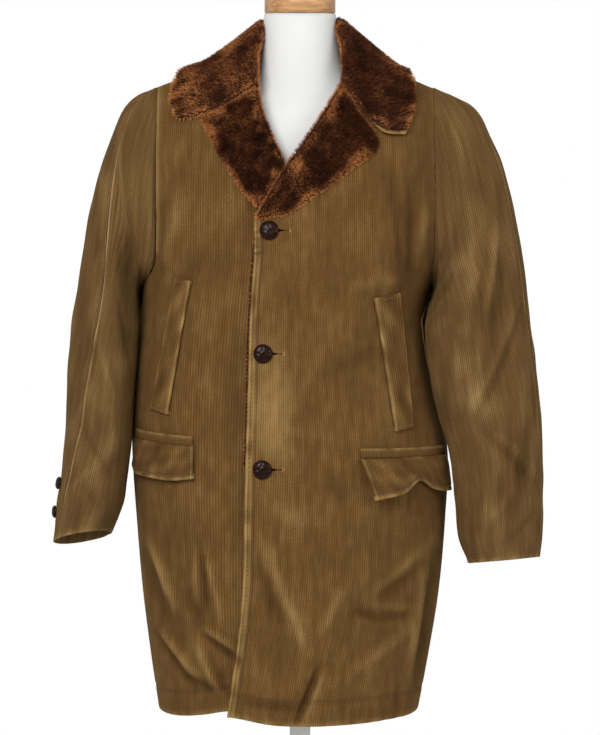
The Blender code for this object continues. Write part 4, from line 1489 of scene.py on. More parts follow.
@dataclass
class CoatBody:
    """The two fronts and the back."""

    form: BodyForm
    hemming: Sewing
    front_wales: dict[Arm, int] = field(default_factory=lambda: {Arm.LEFT: 128, Arm.RIGHT: 86})
    back_wales: int = 188
    rows: tuple[int, int] = (154, 40)
    back_rows: tuple[int, int] = (60, 30)
    armhole_paling: dict[Arm, float] = field(default_factory=lambda: {Arm.LEFT: 0.1, Arm.RIGHT: 0.75})
    edge_stitch: tuple[float, float] = (0.0035, 0.0105)
    edge_worn: float = 0.0075
    # Half width, depth and painted shade of the front edge's stitch grooves.
    edge_groove: tuple[float, float, float] = (0.0014, 0.0008, 0.34)
    hem_stitch: float = 0.030
    hem_worn: float = 0.004
    # Half width, depth and painted shade of the hem's stitch groove.
    hem_groove: tuple[float, float, float] = (0.0026, 0.0010, 0.22)
    hem_under: float = 0.005
    armhole_pale_reach: float = 0.009
    shoulder_dip: tuple[float, float] = (0.0012, 0.005)
    allowance_lines: tuple[tuple[float, float], ...] = (
        (-0.002, 0.0012),
        (0.0, 0.0012),
        (0.005, 0.0022),
        (0.012, 0.0032),
    )
    cuts: dict[str, tuple[float, float, float]] = field(default_factory=lambda: {
        "front_left_cloth": (0.40, 0.92, 0.300),
        "front_right_cloth": (0.34, 0.92, 0.262),
        "back_cloth": (0.56, 0.91, 0.455),
    })
    creases: tuple[Fold, ...] = (
        Fold(-0.202, 0.865, -0.162, 0.762, 0.0065, 0.0052),
        Fold(-0.210, 0.850, -0.172, 0.745, 0.0090, -0.0042),
        Fold(-0.150, 0.800, -0.128, 0.738, 0.0080, -0.0028),
        Fold(-0.197, 0.737, -0.134, 0.660, 0.0050, -0.0054),
        Fold(-0.152, 0.682, -0.112, 0.664, 0.0050, -0.0040),
        Fold(-0.186, 0.738, -0.128, 0.672, 0.0065, 0.0044),
        Fold(-0.130, 0.741, -0.076, 0.702, 0.0042, -0.0056),
        Fold(-0.132, 0.750, -0.082, 0.716, 0.0055, 0.0040),
        Fold(-0.137, 0.726, -0.102, 0.654, 0.0065, 0.0044),
        Fold(-0.124, 0.716, -0.092, 0.652, 0.0060, -0.0032),
        Fold(-0.136, 0.862, -0.136, 0.772, 0.0050, 0.0036),
        Fold(-0.126, 0.868, -0.102, 0.752, 0.0050, 0.0040),
        Fold(-0.131, 0.845, -0.121, 0.762, 0.0050, -0.0034),
        Fold(-0.048, 0.868, -0.012, 0.760, 0.0095, 0.0046),
        Fold(-0.018, 0.790, 0.012, 0.705, 0.0080, 0.0040),
        Fold(-0.058, 0.840, -0.026, 0.750, 0.0090, -0.0026),
        Fold(0.069, 0.769, 0.106, 0.7565, 0.0042, -0.0034),
        Fold(0.096, 0.7575, 0.146, 0.7570, 0.0048, -0.0032),
        Fold(0.080, 0.779, 0.148, 0.768, 0.0060, 0.0020),
        Fold(0.026, 0.700, -0.006, 0.618, 0.0046, -0.0058),
        Fold(0.035, 0.700, 0.004, 0.622, 0.0060, 0.0044),
        Fold(-0.082, 0.651, 0.012, 0.641, 0.0055, -0.0034),
        Fold(0.184, 0.862, 0.086, 0.786, 0.0075, 0.0026),
        Fold(0.174, 0.838, 0.098, 0.772, 0.0085, -0.0018),
        Fold(0.150, 0.744, 0.056, 0.680, 0.0090, 0.0028),
        Fold(0.054, 0.800, 0.028, 0.736, 0.0075, 0.0030),
        Fold(0.182, 0.850, 0.152, 0.655, 0.0075, -0.0042),
        Fold(0.168, 0.845, 0.140, 0.650, 0.0070, 0.0044),
        Fold(0.092, 0.648, 0.096, 0.616, 0.004, -0.0016),
        Fold(0.109, 0.652, 0.113, 0.618, 0.004, -0.0018),
        Fold(0.128, 0.656, 0.131, 0.618, 0.004, -0.0016),
        Fold(0.120, 1.355, 0.136, 1.170, 0.008, -0.0030),
        Fold(0.148, 1.340, 0.146, 1.190, 0.008, -0.0040),
        Fold(0.168, 1.300, 0.150, 1.215, 0.009, 0.0030),
        Fold(-0.150, 1.330, -0.178, 1.215, 0.010, 0.0030),
        Fold(-0.120, 1.250, -0.165, 1.180, 0.010, -0.0018),
        Fold(0.060, 1.190, 0.150, 1.205, 0.008, 0.0016),
        Fold(0.020, 1.075, 0.110, 1.110, 0.010, -0.0014),
        Fold(-0.030, 1.010, 0.080, 0.990, 0.010, 0.0013),
        Fold(0.030, 0.955, 0.070, 0.900, 0.010, -0.0016),
        Fold(-0.060, 0.910, 0.040, 0.880, 0.010, 0.0014),
        Fold(-0.130, 0.960, -0.090, 0.905, 0.009, -0.0016),
    )
    back_creases: tuple[Fold, ...] = (
        Fold(-0.160, 0.900, -0.080, 0.720, 0.012, -0.0040),
        Fold(0.150, 0.930, 0.070, 0.740, 0.012, 0.0036),
        Fold(-0.040, 0.860, 0.010, 0.660, 0.010, -0.0034),
        Fold(0.060, 0.820, 0.100, 0.640, 0.010, -0.0034),
        Fold(-0.130, 1.240, -0.040, 1.190, 0.012, 0.0030),
        Fold(0.130, 1.250, 0.030, 1.180, 0.012, 0.0030),
        Fold(-0.100, 1.110, 0.020, 1.080, 0.011, -0.0026),
        Fold(0.110, 1.090, 0.010, 1.050, 0.011, -0.0026),
        Fold(-0.150, 1.060, -0.090, 0.960, 0.012, 0.0030),
        Fold(0.140, 1.040, 0.080, 0.950, 0.012, 0.0030),
        Fold(-0.060, 1.330, -0.020, 1.230, 0.014, 0.0020),
        Fold(0.050, 1.340, 0.020, 1.240, 0.014, 0.0020),
    )

    def relief(self, x: Array, z: Array, back: bool) -> Array:
        """Height of the creases and of the cloth's soft waves.

        Args:
            x: Places across the body.
            z: Heights.
            back: Whether they are on the back.

        Returns:
            The height at each place.
        """
        folds = self.back_creases if back else self.creases
        waves = 0.0006 * mottle(x, z * 0.55, 0.085, 3) + 0.0004 * mottle(x, z, 0.035, 5)
        return self.form.fold_height(folds, x, z) + waves

    def block(self, places: Array, back: bool, tucked: bool) -> Grid:
        """A grid of cloth at places seen from the front or back, creased.

        Args:
            places: Rows of x and z.
            back: Whether they are on the back.
            tucked: Whether the cloth lies under the other front.

        Returns:
            The grid.
        """
        x, z = np.moveaxis(places, -1, 0)
        points = self.form.point(x, z, back)
        grid = Grid.over(points)
        grid.normals = self.form.normal(x, z, back)
        relief = self.relief(x, z, back)
        if tucked:
            points[..., 1] += self.form.tuck_in(x, z)
        middle, half = self.form.width_at(z)
        fade = ease((1 - np.abs(x - middle) / half) / 0.06 + 0.15)
        # Painted light and shade: crease ridges are lighter and troughs darker; the mottles add random tone.
        shade = relief * 120 + 0.07 * mottle(x, z * 0.35, 0.060, 11)
        shade = shade + 0.09 * mottle(x * 1.6, z * 0.3, 0.021, 13)
        return grid.raised(relief * fade).worn(np.clip(shade, -0.8, 0.8))

    def stitch_column(self, grid: Grid, distance: float) -> None:
        """Sews along the start of a grid, at a distance from its edge."""
        column = grid.beside(Side.START, distance)
        self.hemming.along(grid.points[:, column], grid.normals[:, column], STITCH_LIFT)

    def stitch_row(self, grid: Grid, distance: float) -> None:
        """Sews along the low edge of a grid, at a distance from it."""
        kept = (grid.beside(Side.LOW, distance), slice(4 * WALE_COLUMNS, -4 * WALE_COLUMNS))
        self.hemming.along(grid.points[kept], grid.normals[kept], HEM_LIFT)

    def worn_middle(self, places: Array) -> Array:
        """Wear beside the front edge, between the buttons, where the coat is handled most.

        Args:
            places: Rows of x and z.

        Returns:
            The wear at each place.
        """
        x, z = np.moveaxis(places, -1, 0)
        return 0.55 * np.exp(-(((x + 0.035) / 0.030) ** 2) - ((z - 1.03) / 0.085) ** 2)

    def edged(self, grid: Grid) -> Grid:
        """The front edge's worn band and the grooves of its two rows of stitches, which are sewn.

        Args:
            grid: A front's cloth.

        Returns:
            The finished cloth.
        """
        grid = grid.pale(Side.START, self.edge_worn, 1.0)
        for distance in self.edge_stitch:
            grid = grid.grooved(Side.START, distance, *self.edge_groove)
            self.stitch_column(grid, distance)
        return grid

    def hemmed(self, grid: Grid) -> Grid:
        """The hem's worn edge and the groove of its stitches, which are sewn.

        Args:
            grid: A panel's cloth.

        Returns:
            The finished cloth.
        """
        grid = grid.grooved(Side.LOW, self.hem_stitch, *self.hem_groove).pale(Side.LOW, self.hem_worn, 0.55)
        self.stitch_row(grid, self.hem_stitch)
        return grid.turned(Side.LOW, under=self.hem_under)

    @staticmethod
    def continued(high: Grid, low: Grid, first: int) -> Grid:
        """The upper block with its places on the cloth carried on from the lower block's columns.

        Args:
            high: The upper block.
            low: The lower block.
            first: Column of the lower block that they share first.

        Returns:
            The upper block.
        """
        columns = high.wear.shape[1]
        high.cloth[..., 0] = low.cloth[-1, first : first + columns, 0]
        high.cloth[..., 1] += low.cloth[-1, 0, 1]
        return high

    def front(self, arm: Arm, wales: int) -> Piece:
        """Makes a front.

        Args:
            arm: Which front.
            wales: How many ribs it is wide.

        Returns:
            The piece.
        """
        node = f"front_{arm.label}"
        maker = MeshMaker(f"{node}_cloth")
        skirt, yoke = self.form.front_blocks(arm, wales * WALE_COLUMNS, self.rows)
        over = arm is Arm.LEFT
        low = self.block(skirt, False, not over)
        high = self.continued(self.block(yoke, False, not over), low, 0)
        armhole = high.edge_distance(Side.END)
        # Paler along the armhole's edge, strongest on the wearer's right.
        high = high.worn(self.armhole_paling[arm] * np.exp(-((armhole / self.armhole_pale_reach) ** 2)))
        low, high = low.waled(), high.waled()
        if over:
            low = self.edged(low.worn(self.worn_middle(skirt))).turned(Side.START)
            high = self.edged(high).turned(Side.START)
        maker.add_grid(self.hemmed(low))
        maker.add_grid(high.sunk(Side.HIGH, *self.shoulder_dip))
        return dress(maker.make(BODY_CLOTH.make()), Slot.CORDUROY, node)

    def back(self) -> Piece:
        """Makes the back.

        Returns:
            The piece.
        """
        maker = MeshMaker("back_cloth")
        skirt, yoke = self.form.back_blocks(self.back_wales * WALE_COLUMNS, self.back_rows)
        low = self.block(skirt, True, False)
        first = int(np.argmin(np.abs(skirt[-1, :, 0] - yoke[0, 0, 0])))
        high = self.continued(self.block(yoke, True, False), low, first)
        for side in (Side.START, Side.END):
            maker.add_grid(self.allowance(low, side))
        maker.add_grid(self.hemmed(low.waled()))
        maker.add_grid(high.waled().sunk(Side.HIGH, *self.shoulder_dip))
        return dress(maker.make(BODY_CLOTH.make()), Slot.CORDUROY, "back")

    def allowance(self, grid: Grid, side: Side) -> Grid:
        """The seam allowance that goes on from a side of a panel and lies under the next one.

        Args:
            grid: The panel.
            side: Its start or its end.

        Returns:
            A narrow strip.
        """
        edge, inner = (0, 6) if side is Side.START else (-1, -7)
        out = unit(grid.points[:, edge] - grid.points[:, inner])
        lines = [
            grid.points[:, edge] + out * reach - grid.normals[:, edge] * depth
            for reach, depth in self.allowance_lines
        ]
        points = np.stack(lines if side is Side.END else lines[::-1], axis=1)
        return Grid.over(points, INSIDE_SKIRT)

    def build(self) -> list[Piece]:
        """Returns:
            The pieces.
        """
        made = [self.front(arm, wales) for arm, wales in self.front_wales.items()]
        made.append(self.back())
        return made


@dataclass
class Sleeve:
    """One sleeve of two panels, set in at the armhole."""

    form: BodyForm
    sewing: Sewing
    hemming: Sewing
    arm: Arm
    rings: tuple[Ring, ...]
    overarm: tuple[Turn, ...]
    folds: tuple[Bulge, ...]
    creases: tuple[Bulge, ...]
    wales: tuple[int, int]
    cuts: tuple[tuple[float, float, float], tuple[float, float, float]]
    rows: int = 92
    fade_rings: float = 5.0
    arm_gap: float = 0.0004
    seam_gap: float = 0.0004
    stitch_reach: float = 0.0045
    cuff_stitch: float = 0.022
    grain: tuple[tuple[float, ...], tuple[float, ...]] = ((125.0,), (-125.0,))
    cap_sink: float = 0.0
    cap_reach: float = 0.012
    under_dip: tuple[float, float] = (0.0012, 0.004)
    back_dip: tuple[float, float] = (0.0008, 0.004)
    lip_width: float = 0.0035
    lip_height: float = 0.0007
    lip_worn: float = 0.0032
    seam_wear: float = 0.45
    cuff_worn: float = 0.004
    cuff_under: float = 0.030

    def __post_init__(self) -> None:
        """Works out the armhole's two halves once."""
        self.armholes = {back: self.form.armhole(self.arm, back) for back in (False, True)}

    def armhole(self, degrees: Array) -> Array:
        """Points of the armhole: 0 at the shoulder, 180 at the side seam, positive round the front.

        Args:
            degrees: The angles.

        Returns:
            The points.
        """
        points = np.zeros((len(degrees), 3))
        for back, line in self.armholes.items():
            chosen = (degrees < 0) if back else (degrees >= 0)
            points[chosen] = spread(line, np.abs(degrees[chosen]) / 180.0)
        return points

    def plain_ring(self, ring: float, degrees: Array) -> Array:
        """An oval between the rails.

        Args:
            ring: Ring number, also between rings.
            degrees: Angles round it.

        Returns:
            The points.
        """
        outer_x, outer_z, inner_x, inner_z, middle, half_depth, pitch = (
            read_row(self.rings, column, ring) for column in Ring._fields
        )
        turn = np.radians(degrees)
        depth = half_depth * np.sin(turn)
        x = (outer_x + inner_x) / 2 + (outer_x - inner_x) / 2 * np.cos(turn)
        z = (outer_z + inner_z) / 2 + (outer_z - inner_z) / 2 * np.cos(turn) + pitch * depth
        return np.stack([x, middle - depth, z], axis=-1)

    def centre(self, ring: float) -> Array:
        """Middle of a ring."""
        return self.plain_ring(ring, np.array([0.0, 180.0])).mean(axis=0)

    def levels(self) -> Array:
        """Ring numbers of a panel's rows."""
        return np.linspace(0, len(self.rings) - 1, self.rows + 1)

    @staticmethod
    def swell(bulges: tuple[Bulge, ...], ring: float, degrees: Array) -> Array:
        """Adds up folds at angles round a ring.

        Args:
            bulges: The folds.
            ring: Ring number, also between rings.
            degrees: The angles.

        Returns:
            The folds' height at each angle.
        """
        total = np.zeros(len(degrees))
        for bulge in bulges:
            past = (ring - bulge.ring) / bulge.along
            around = (degrees - bulge.degrees - bulge.slant * past) / bulge.around
            total = total + bulge.height * math.exp(-(past**2)) * np.exp(-(around**2))
        return total

    def ring(self, ring: float, degrees: Array, fine: bool = True) -> Array:
        """A ring, which starts as the armhole and turns into an oval, with its folds.

        Args:
            ring: Ring number, also between rings.
            degrees: Angles round it.
            fine: Whether it has its small creases too.

        Returns:
            Points at those angles.
        """
        points = self.plain_ring(ring, degrees)
        fade = (1 - min(ring / self.fade_rings, 1.0)) ** 2
        points = points + fade * (self.armhole(degrees) - self.plain_ring(0, degrees))
        bulges = self.folds + (self.creases if fine else ())
        points = points + unit(points - self.centre(ring)) * self.swell(bulges, ring, degrees)[:, None]
        points[:, 0] += self.arm.value * self.arm_gap * (1 - min(ring, 1.0))
        return points

    def seam(self, ring: float) -> float:
        """Angle of the seam along the arm at a ring."""
        return float(read(self.overarm, "degrees", ring))

    def plain_turns(self, ring: float, shares: Array, back: bool) -> Array:
        """Angles at even shares across a panel, from the seam along the arm to the one under it.

        Args:
            ring: Ring number, also between rings.
            shares: Shares across the panel.
            back: Whether it is the back panel.

        Returns:
            The angles.
        """
        start = -self.seam(ring) if back else self.seam(ring)
        girth = length_along(self.ring(ring, np.linspace(-180.0, 180.0, 73)))[-1]
        gap = self.seam_gap / girth * 360.0
        degrees = start + gap + (180.0 - 2 * gap - start) * shares
        return -degrees if back else degrees

    def turns(self, ring: float, shares: Array, back: bool) -> Array:
        """Angles of a panel's ribs at a ring, which run straight up to the armhole.

        Args:
            ring: Ring number, also between rings.
            shares: Shares across the panel.
            back: Whether it is the back panel.

        Returns:
            The angles.
        """
        plain = self.plain_turns(ring, shares, back)
        if ring >= self.fade_rings:
            return plain
        start = self.plain_turns(self.fade_rings, shares, back)
        laid = [self.laid(ring, start, grain) for grain in self.grain[1 if back else 0]]
        straight = laid[0] + (laid[-1] - laid[0]) * ease((20.0 - start) / 40.0)
        straight = np.clip(straight, min(plain[0], plain[-1]), max(plain[0], plain[-1]))
        straight = np.minimum.accumulate(straight) if back else straight
        straight = straight + (plain[0] - straight[0]) * ease((0.12 - shares) / 0.12)
        straight = straight + (plain[-1] - straight[-1]) * ease((shares - 0.80) / 0.20)
        return straight * 0.97 + plain * 0.03

    def laid(self, ring: float, start: Array, grain: float) -> Array:
        """Angles at a ring of ribs that run straight up the arm.

        Args:
            ring: Ring number, also between rings.
            start: The ribs' angles lower down the arm.
            grain: Angle lower down of the rib that is laid true.

        Returns:
            The angles.
        """
        side = np.linspace(0.5, 179.5, 240) * math.copysign(1.0, grain)
        away = self.across(ring, side)
        order = np.argsort(away)
        middle = np.interp(self.across(self.fade_rings, np.array([grain])), away[order], side[order])
        round_it = np.linspace(-180.0, 180.0, 721)
        here = self.widths(ring, round_it)
        low = self.widths(self.fade_rings, round_it)
        from_grain = np.interp(start, round_it, low) - np.interp(grain, round_it, low)
        return np.interp(from_grain + np.interp(middle, round_it, here), here, round_it)

    def way(self) -> Array:
        """Direction of the upper arm, down it."""
        return unit(self.centre(self.fade_rings + 2) - self.centre(self.fade_rings))

    def across(self, ring: float, degrees: Array) -> Array:
        """How far out points of a ring lie, seen from the front and square to the arm.

        Args:
            ring: Ring number, also between rings.
            degrees: Angles round it.

        Returns:
            The distances.
        """
        way = self.way()
        points = self.ring(ring, degrees, fine=False)
        return self.arm.value * (points[:, 2] * way[0] - points[:, 0] * way[2])

    def widths(self, ring: float, degrees: Array) -> Array:
        """Length along a ring, counted square to the arm only.

        Args:
            ring: Ring number, also between rings.
            degrees: Angles round it.

        Returns:
            The length up to each angle.
        """
        way = self.way()
        steps = np.diff(self.ring(ring, degrees, fine=False), axis=0)
        square = np.linalg.norm(steps - (steps @ way)[:, None] * way, axis=1)
        return np.concatenate([[0.0], np.cumsum(square + 1e-7)])

    def panel(self, back: bool) -> Piece:
        """Makes the front or back panel.

        Args:
            back: Whether it is the back panel.

        Returns:
            The piece.
        """
        columns = self.wales[1 if back else 0] * WALE_COLUMNS
        shares = np.linspace(0, 1, columns + 1)
        points = np.array([self.ring(ring, self.turns(ring, shares, back)) for ring in self.levels()])
        centres = np.array([self.centre(ring) for ring in self.levels()])
        grid = Grid.over(points, centres[:, None])
        u, v = grid.flat()
        wear = 0.10 * mottle(u, v * 0.4, 0.055, 17 + self.arm.value)
        wear = wear + 0.12 * mottle(u * 1.6, v * 0.3, 0.02, 19)
        waves = 0.0007 * mottle(u, v, 0.060, 23 + self.arm.value)
        # Painted light and shade: ridges of the waves and creases are lighter and troughs darker; the mottles
        # are random wear.
        grid = grid.raised(waves * ease(v / 0.05)).worn(wear + waves * 110 + self.relief(shares, back) * 70)
        grid = grid.waled().sunk(Side.END, *self.under_dip).pale(Side.HIGH, self.cuff_worn, 0.6)
        grid = grid.sunk(Side.LOW, self.cap_sink, self.cap_reach) if self.cap_sink > 0 else grid
        if back:
            grid = grid.sunk(Side.START, *self.back_dip)
        else:
            lip = np.exp(-((grid.edge_distance(Side.START) / self.lip_width) ** 2))
            grid = grid.raised(self.lip_height * lip).pale(Side.START, self.lip_worn, self.seam_wear)
        self.sew(grid, back)
        grid = grid.turned(Side.HIGH, under=self.cuff_under)
        node = f"sleeve_{self.arm.label}_{'back' if back else 'front'}"
        piece = dressed(f"{node}_cloth", grid, SLEEVE_CLOTH, Slot.CORDUROY, node)
        return piece

    def relief(self, shares: Array, back: bool) -> Array:
        """Height of the folds and creases over a panel, row by row."""
        bulges = self.folds + self.creases
        return np.array([self.swell(bulges, ring, self.turns(ring, shares, back)) for ring in self.levels()])

    def sew(self, grid: Grid, back: bool) -> None:
        """Sews beside the seam along the arm and round the cuff.

        Args:
            grid: The panel.
            back: Whether it is the back panel.
        """
        width = np.linalg.norm(grid.points[:, 1:] - grid.points[:, :-1], axis=2).mean(axis=1)
        column = np.clip(np.round(self.stitch_reach / width).astype(int), 1, grid.points.shape[1] - 2)
        kept = (np.arange(grid.points.shape[0])[3:-2], column[3:-2])
        if back or self.arm is Arm.RIGHT:
            self.sewing.along(grid.points[kept], grid.normals[kept], STITCH_LIFT)
        row = grid.beside(Side.HIGH, self.cuff_stitch)
        self.hemming.along(grid.points[row], grid.normals[row], HEM_LIFT)

    def build(self) -> list[Piece]:
        """Makes both panels."""
        return [self.panel(False), self.panel(True)]


def left_sleeve(form: BodyForm, sewing: Sewing, hemming: Sewing) -> Sleeve:
    """The wearer's left sleeve.

    Args:
        form: The body.
        sewing: The topstitching.
        hemming: The fine stitches.

    Returns:
        The sleeve.
    """
    rings = (
        Ring(0.180, 1.454, 0.178, 1.190, 0.004, 0.080, 0.00),
        Ring(0.234, 1.428, 0.1800, 1.185, 0.006, 0.080, 0.00),
        Ring(0.256, 1.389, 0.1785, 1.177, -0.004, 0.078, 0.00),
        Ring(0.276, 1.334, 0.1740, 1.166, -0.022, 0.074, 0.00),
        Ring(0.288, 1.272, 0.1685, 1.150, -0.040, 0.070, 0.00),
        Ring(0.2975, 1.218, 0.1665, 1.125, -0.051, 0.067, 0.00),
        Ring(0.3055, 1.144, 0.1710, 1.085, -0.056, 0.064, 0.00),
        Ring(0.316, 1.063, 0.1830, 1.025, -0.057, 0.062, 0.00),
        Ring(0.3215, 0.996, 0.1985, 0.970, -0.056, 0.060, 0.02),
        Ring(0.3235, 0.930, 0.206, 0.912, -0.054, 0.058, 0.05),
        Ring(0.3235, 0.870, 0.211, 0.860, -0.052, 0.055, 0.08),
        Ring(0.3200, 0.831, 0.224, 0.822, -0.052, 0.052, 0.10),
    )
    turns = (Turn(0, 0), Turn(2, 16), Turn(5, 24), Turn(8, 22), Turn(11, 18))
    folds = (
        Bulge(3.6, 95, -14, 1.0, 16, 0.005),
        Bulge(5.4, 70, 18, 1.1, 18, -0.006),
        Bulge(7.0, 105, -16, 0.9, 15, 0.005),
        Bulge(8.6, 60, 14, 0.8, 16, -0.005),
        Bulge(6.0, -90, 12, 1.2, 22, -0.006),
        Bulge(2.8, -150, 0, 2.2, 40, 0.017),
    )
    creases = (
        Bulge(2.2, 60, -10, 0.9, 9, -0.0024),
        Bulge(3.3, 126, 30, 0.8, 6, -0.0040),
        Bulge(3.1, 118, 30, 0.8, 7, 0.0030),
        Bulge(4.3, 66, 16, 1.3, 6, 0.0036),
        Bulge(4.4, 78, 16, 1.2, 7, -0.0030),
        Bulge(5.2, 118, -20, 0.6, 8, 0.0022),
        Bulge(6.6, 76, 33, 0.7, 5, -0.0042),
        Bulge(6.4, 80, 33, 0.7, 6, 0.0034),
        Bulge(7.6, 104, -18, 0.5, 9, -0.0022),
        Bulge(8.2, 68, -33, 0.6, 5, 0.0034),
        Bulge(8.5, 66, -33, 0.6, 6, -0.0030),
        Bulge(9.4, 92, 20, 0.45, 8, 0.0024),
        Bulge(9.9, 58, 22, 0.4, 9, -0.0026),
        Bulge(5.4, -60, 22, 0.7, 12, 0.0035),
        Bulge(7.2, -100, -22, 0.6, 12, -0.0035),
        Bulge(8.6, -70, 20, 0.5, 12, 0.0030),
    )
    cuts = ((0.25, 0.70, 0.105), (0.30, 0.70, 0.137))
    return Sleeve(form, sewing, hemming, Arm.LEFT, rings, turns, folds, creases, (72, 90), cuts)


def right_sleeve(form: BodyForm, sewing: Sewing, hemming: Sewing) -> Sleeve:
    """The wearer's right sleeve.

    Args:
        form: The body.
        sewing: The topstitching.
        hemming: The fine stitches.

    Returns:
        The sleeve.
    """
    rings = (
        Ring(-0.193, 1.457, -0.210, 1.190, 0.004, 0.080, 0.00),
        Ring(-0.229, 1.438, -0.2150, 1.185, 0.006, 0.081, 0.00),
        Ring(-0.250, 1.398, -0.2160, 1.177, -0.002, 0.081, 0.00),
        Ring(-0.266, 1.348, -0.2155, 1.166, -0.016, 0.080, 0.00),
        Ring(-0.280, 1.290, -0.2142, 1.150, -0.032, 0.079, 0.00),
        Ring(-0.290, 1.226, -0.2145, 1.125, -0.043, 0.078, 0.00),
        Ring(-0.301, 1.157, -0.2180, 1.085, -0.048, 0.077, 0.00),
        Ring(-0.308, 1.090, -0.2215, 1.035, -0.050, 0.076, 0.00),
        Ring(-0.3115, 1.010, -0.2255, 0.975, -0.050, 0.073, 0.04),
        Ring(-0.3160, 0.955, -0.2305, 0.935, -0.049, 0.069, 0.08),
        Ring(-0.3230, 0.905, -0.2360, 0.900, -0.048, 0.064, 0.14),
        Ring(-0.3290, 0.850, -0.2520, 0.863, -0.048, 0.058, 0.20),
    )
    turns = (
        Turn(0, 0),
        Turn(1, 22),
        Turn(2, 44),
        Turn(4, 76),
        Turn(7, 72),
        Turn(9, 50),
        Turn(11, 40),
    )
    folds = (
        Bulge(3.5, 118, 8, 1.6, 16, -0.006),
        Bulge(6.4, 46, 10, 1.3, 15, -0.005),
        Bulge(8.2, 112, -14, 0.9, 16, 0.005),
        Bulge(6.0, -95, 12, 1.2, 22, -0.006),
        Bulge(2.6, -150, 0, 1.8, 38, 0.015),
    )
    creases = (
        Bulge(2.6, 100, 14, 0.9, 9, 0.0030),
        Bulge(4.2, 60, -16, 0.7, 9, -0.0030),
        Bulge(5.3, 128, 20, 0.7, 9, -0.0034),
        Bulge(6.6, 104, 22, 0.6, 9, 0.0030),
        Bulge(7.6, 60, -22, 0.5, 9, 0.0030),
        Bulge(8.4, 92, 24, 0.5, 9, -0.0034),
        Bulge(9.4, 70, -20, 0.45, 10, 0.0030),
        Bulge(10.0, 100, 20, 0.4, 10, -0.0028),
        Bulge(5.4, -60, 22, 0.7, 12, 0.0035),
        Bulge(7.2, -110, -22, 0.6, 12, -0.0035),
        Bulge(8.8, -60, 20, 0.5, 12, 0.0030),
    )
    cuts = ((0.20, 0.68, 0.066), (0.32, 0.68, 0.148))
    wear = {"grain": ((142.0,), (40.0, -125.0)), "cap_sink": 0.0018, "seam_wear": 0.95}
    return Sleeve(form, sewing, hemming, Arm.RIGHT, rings, turns, folds, creases, (42, 96), cuts, **wear)


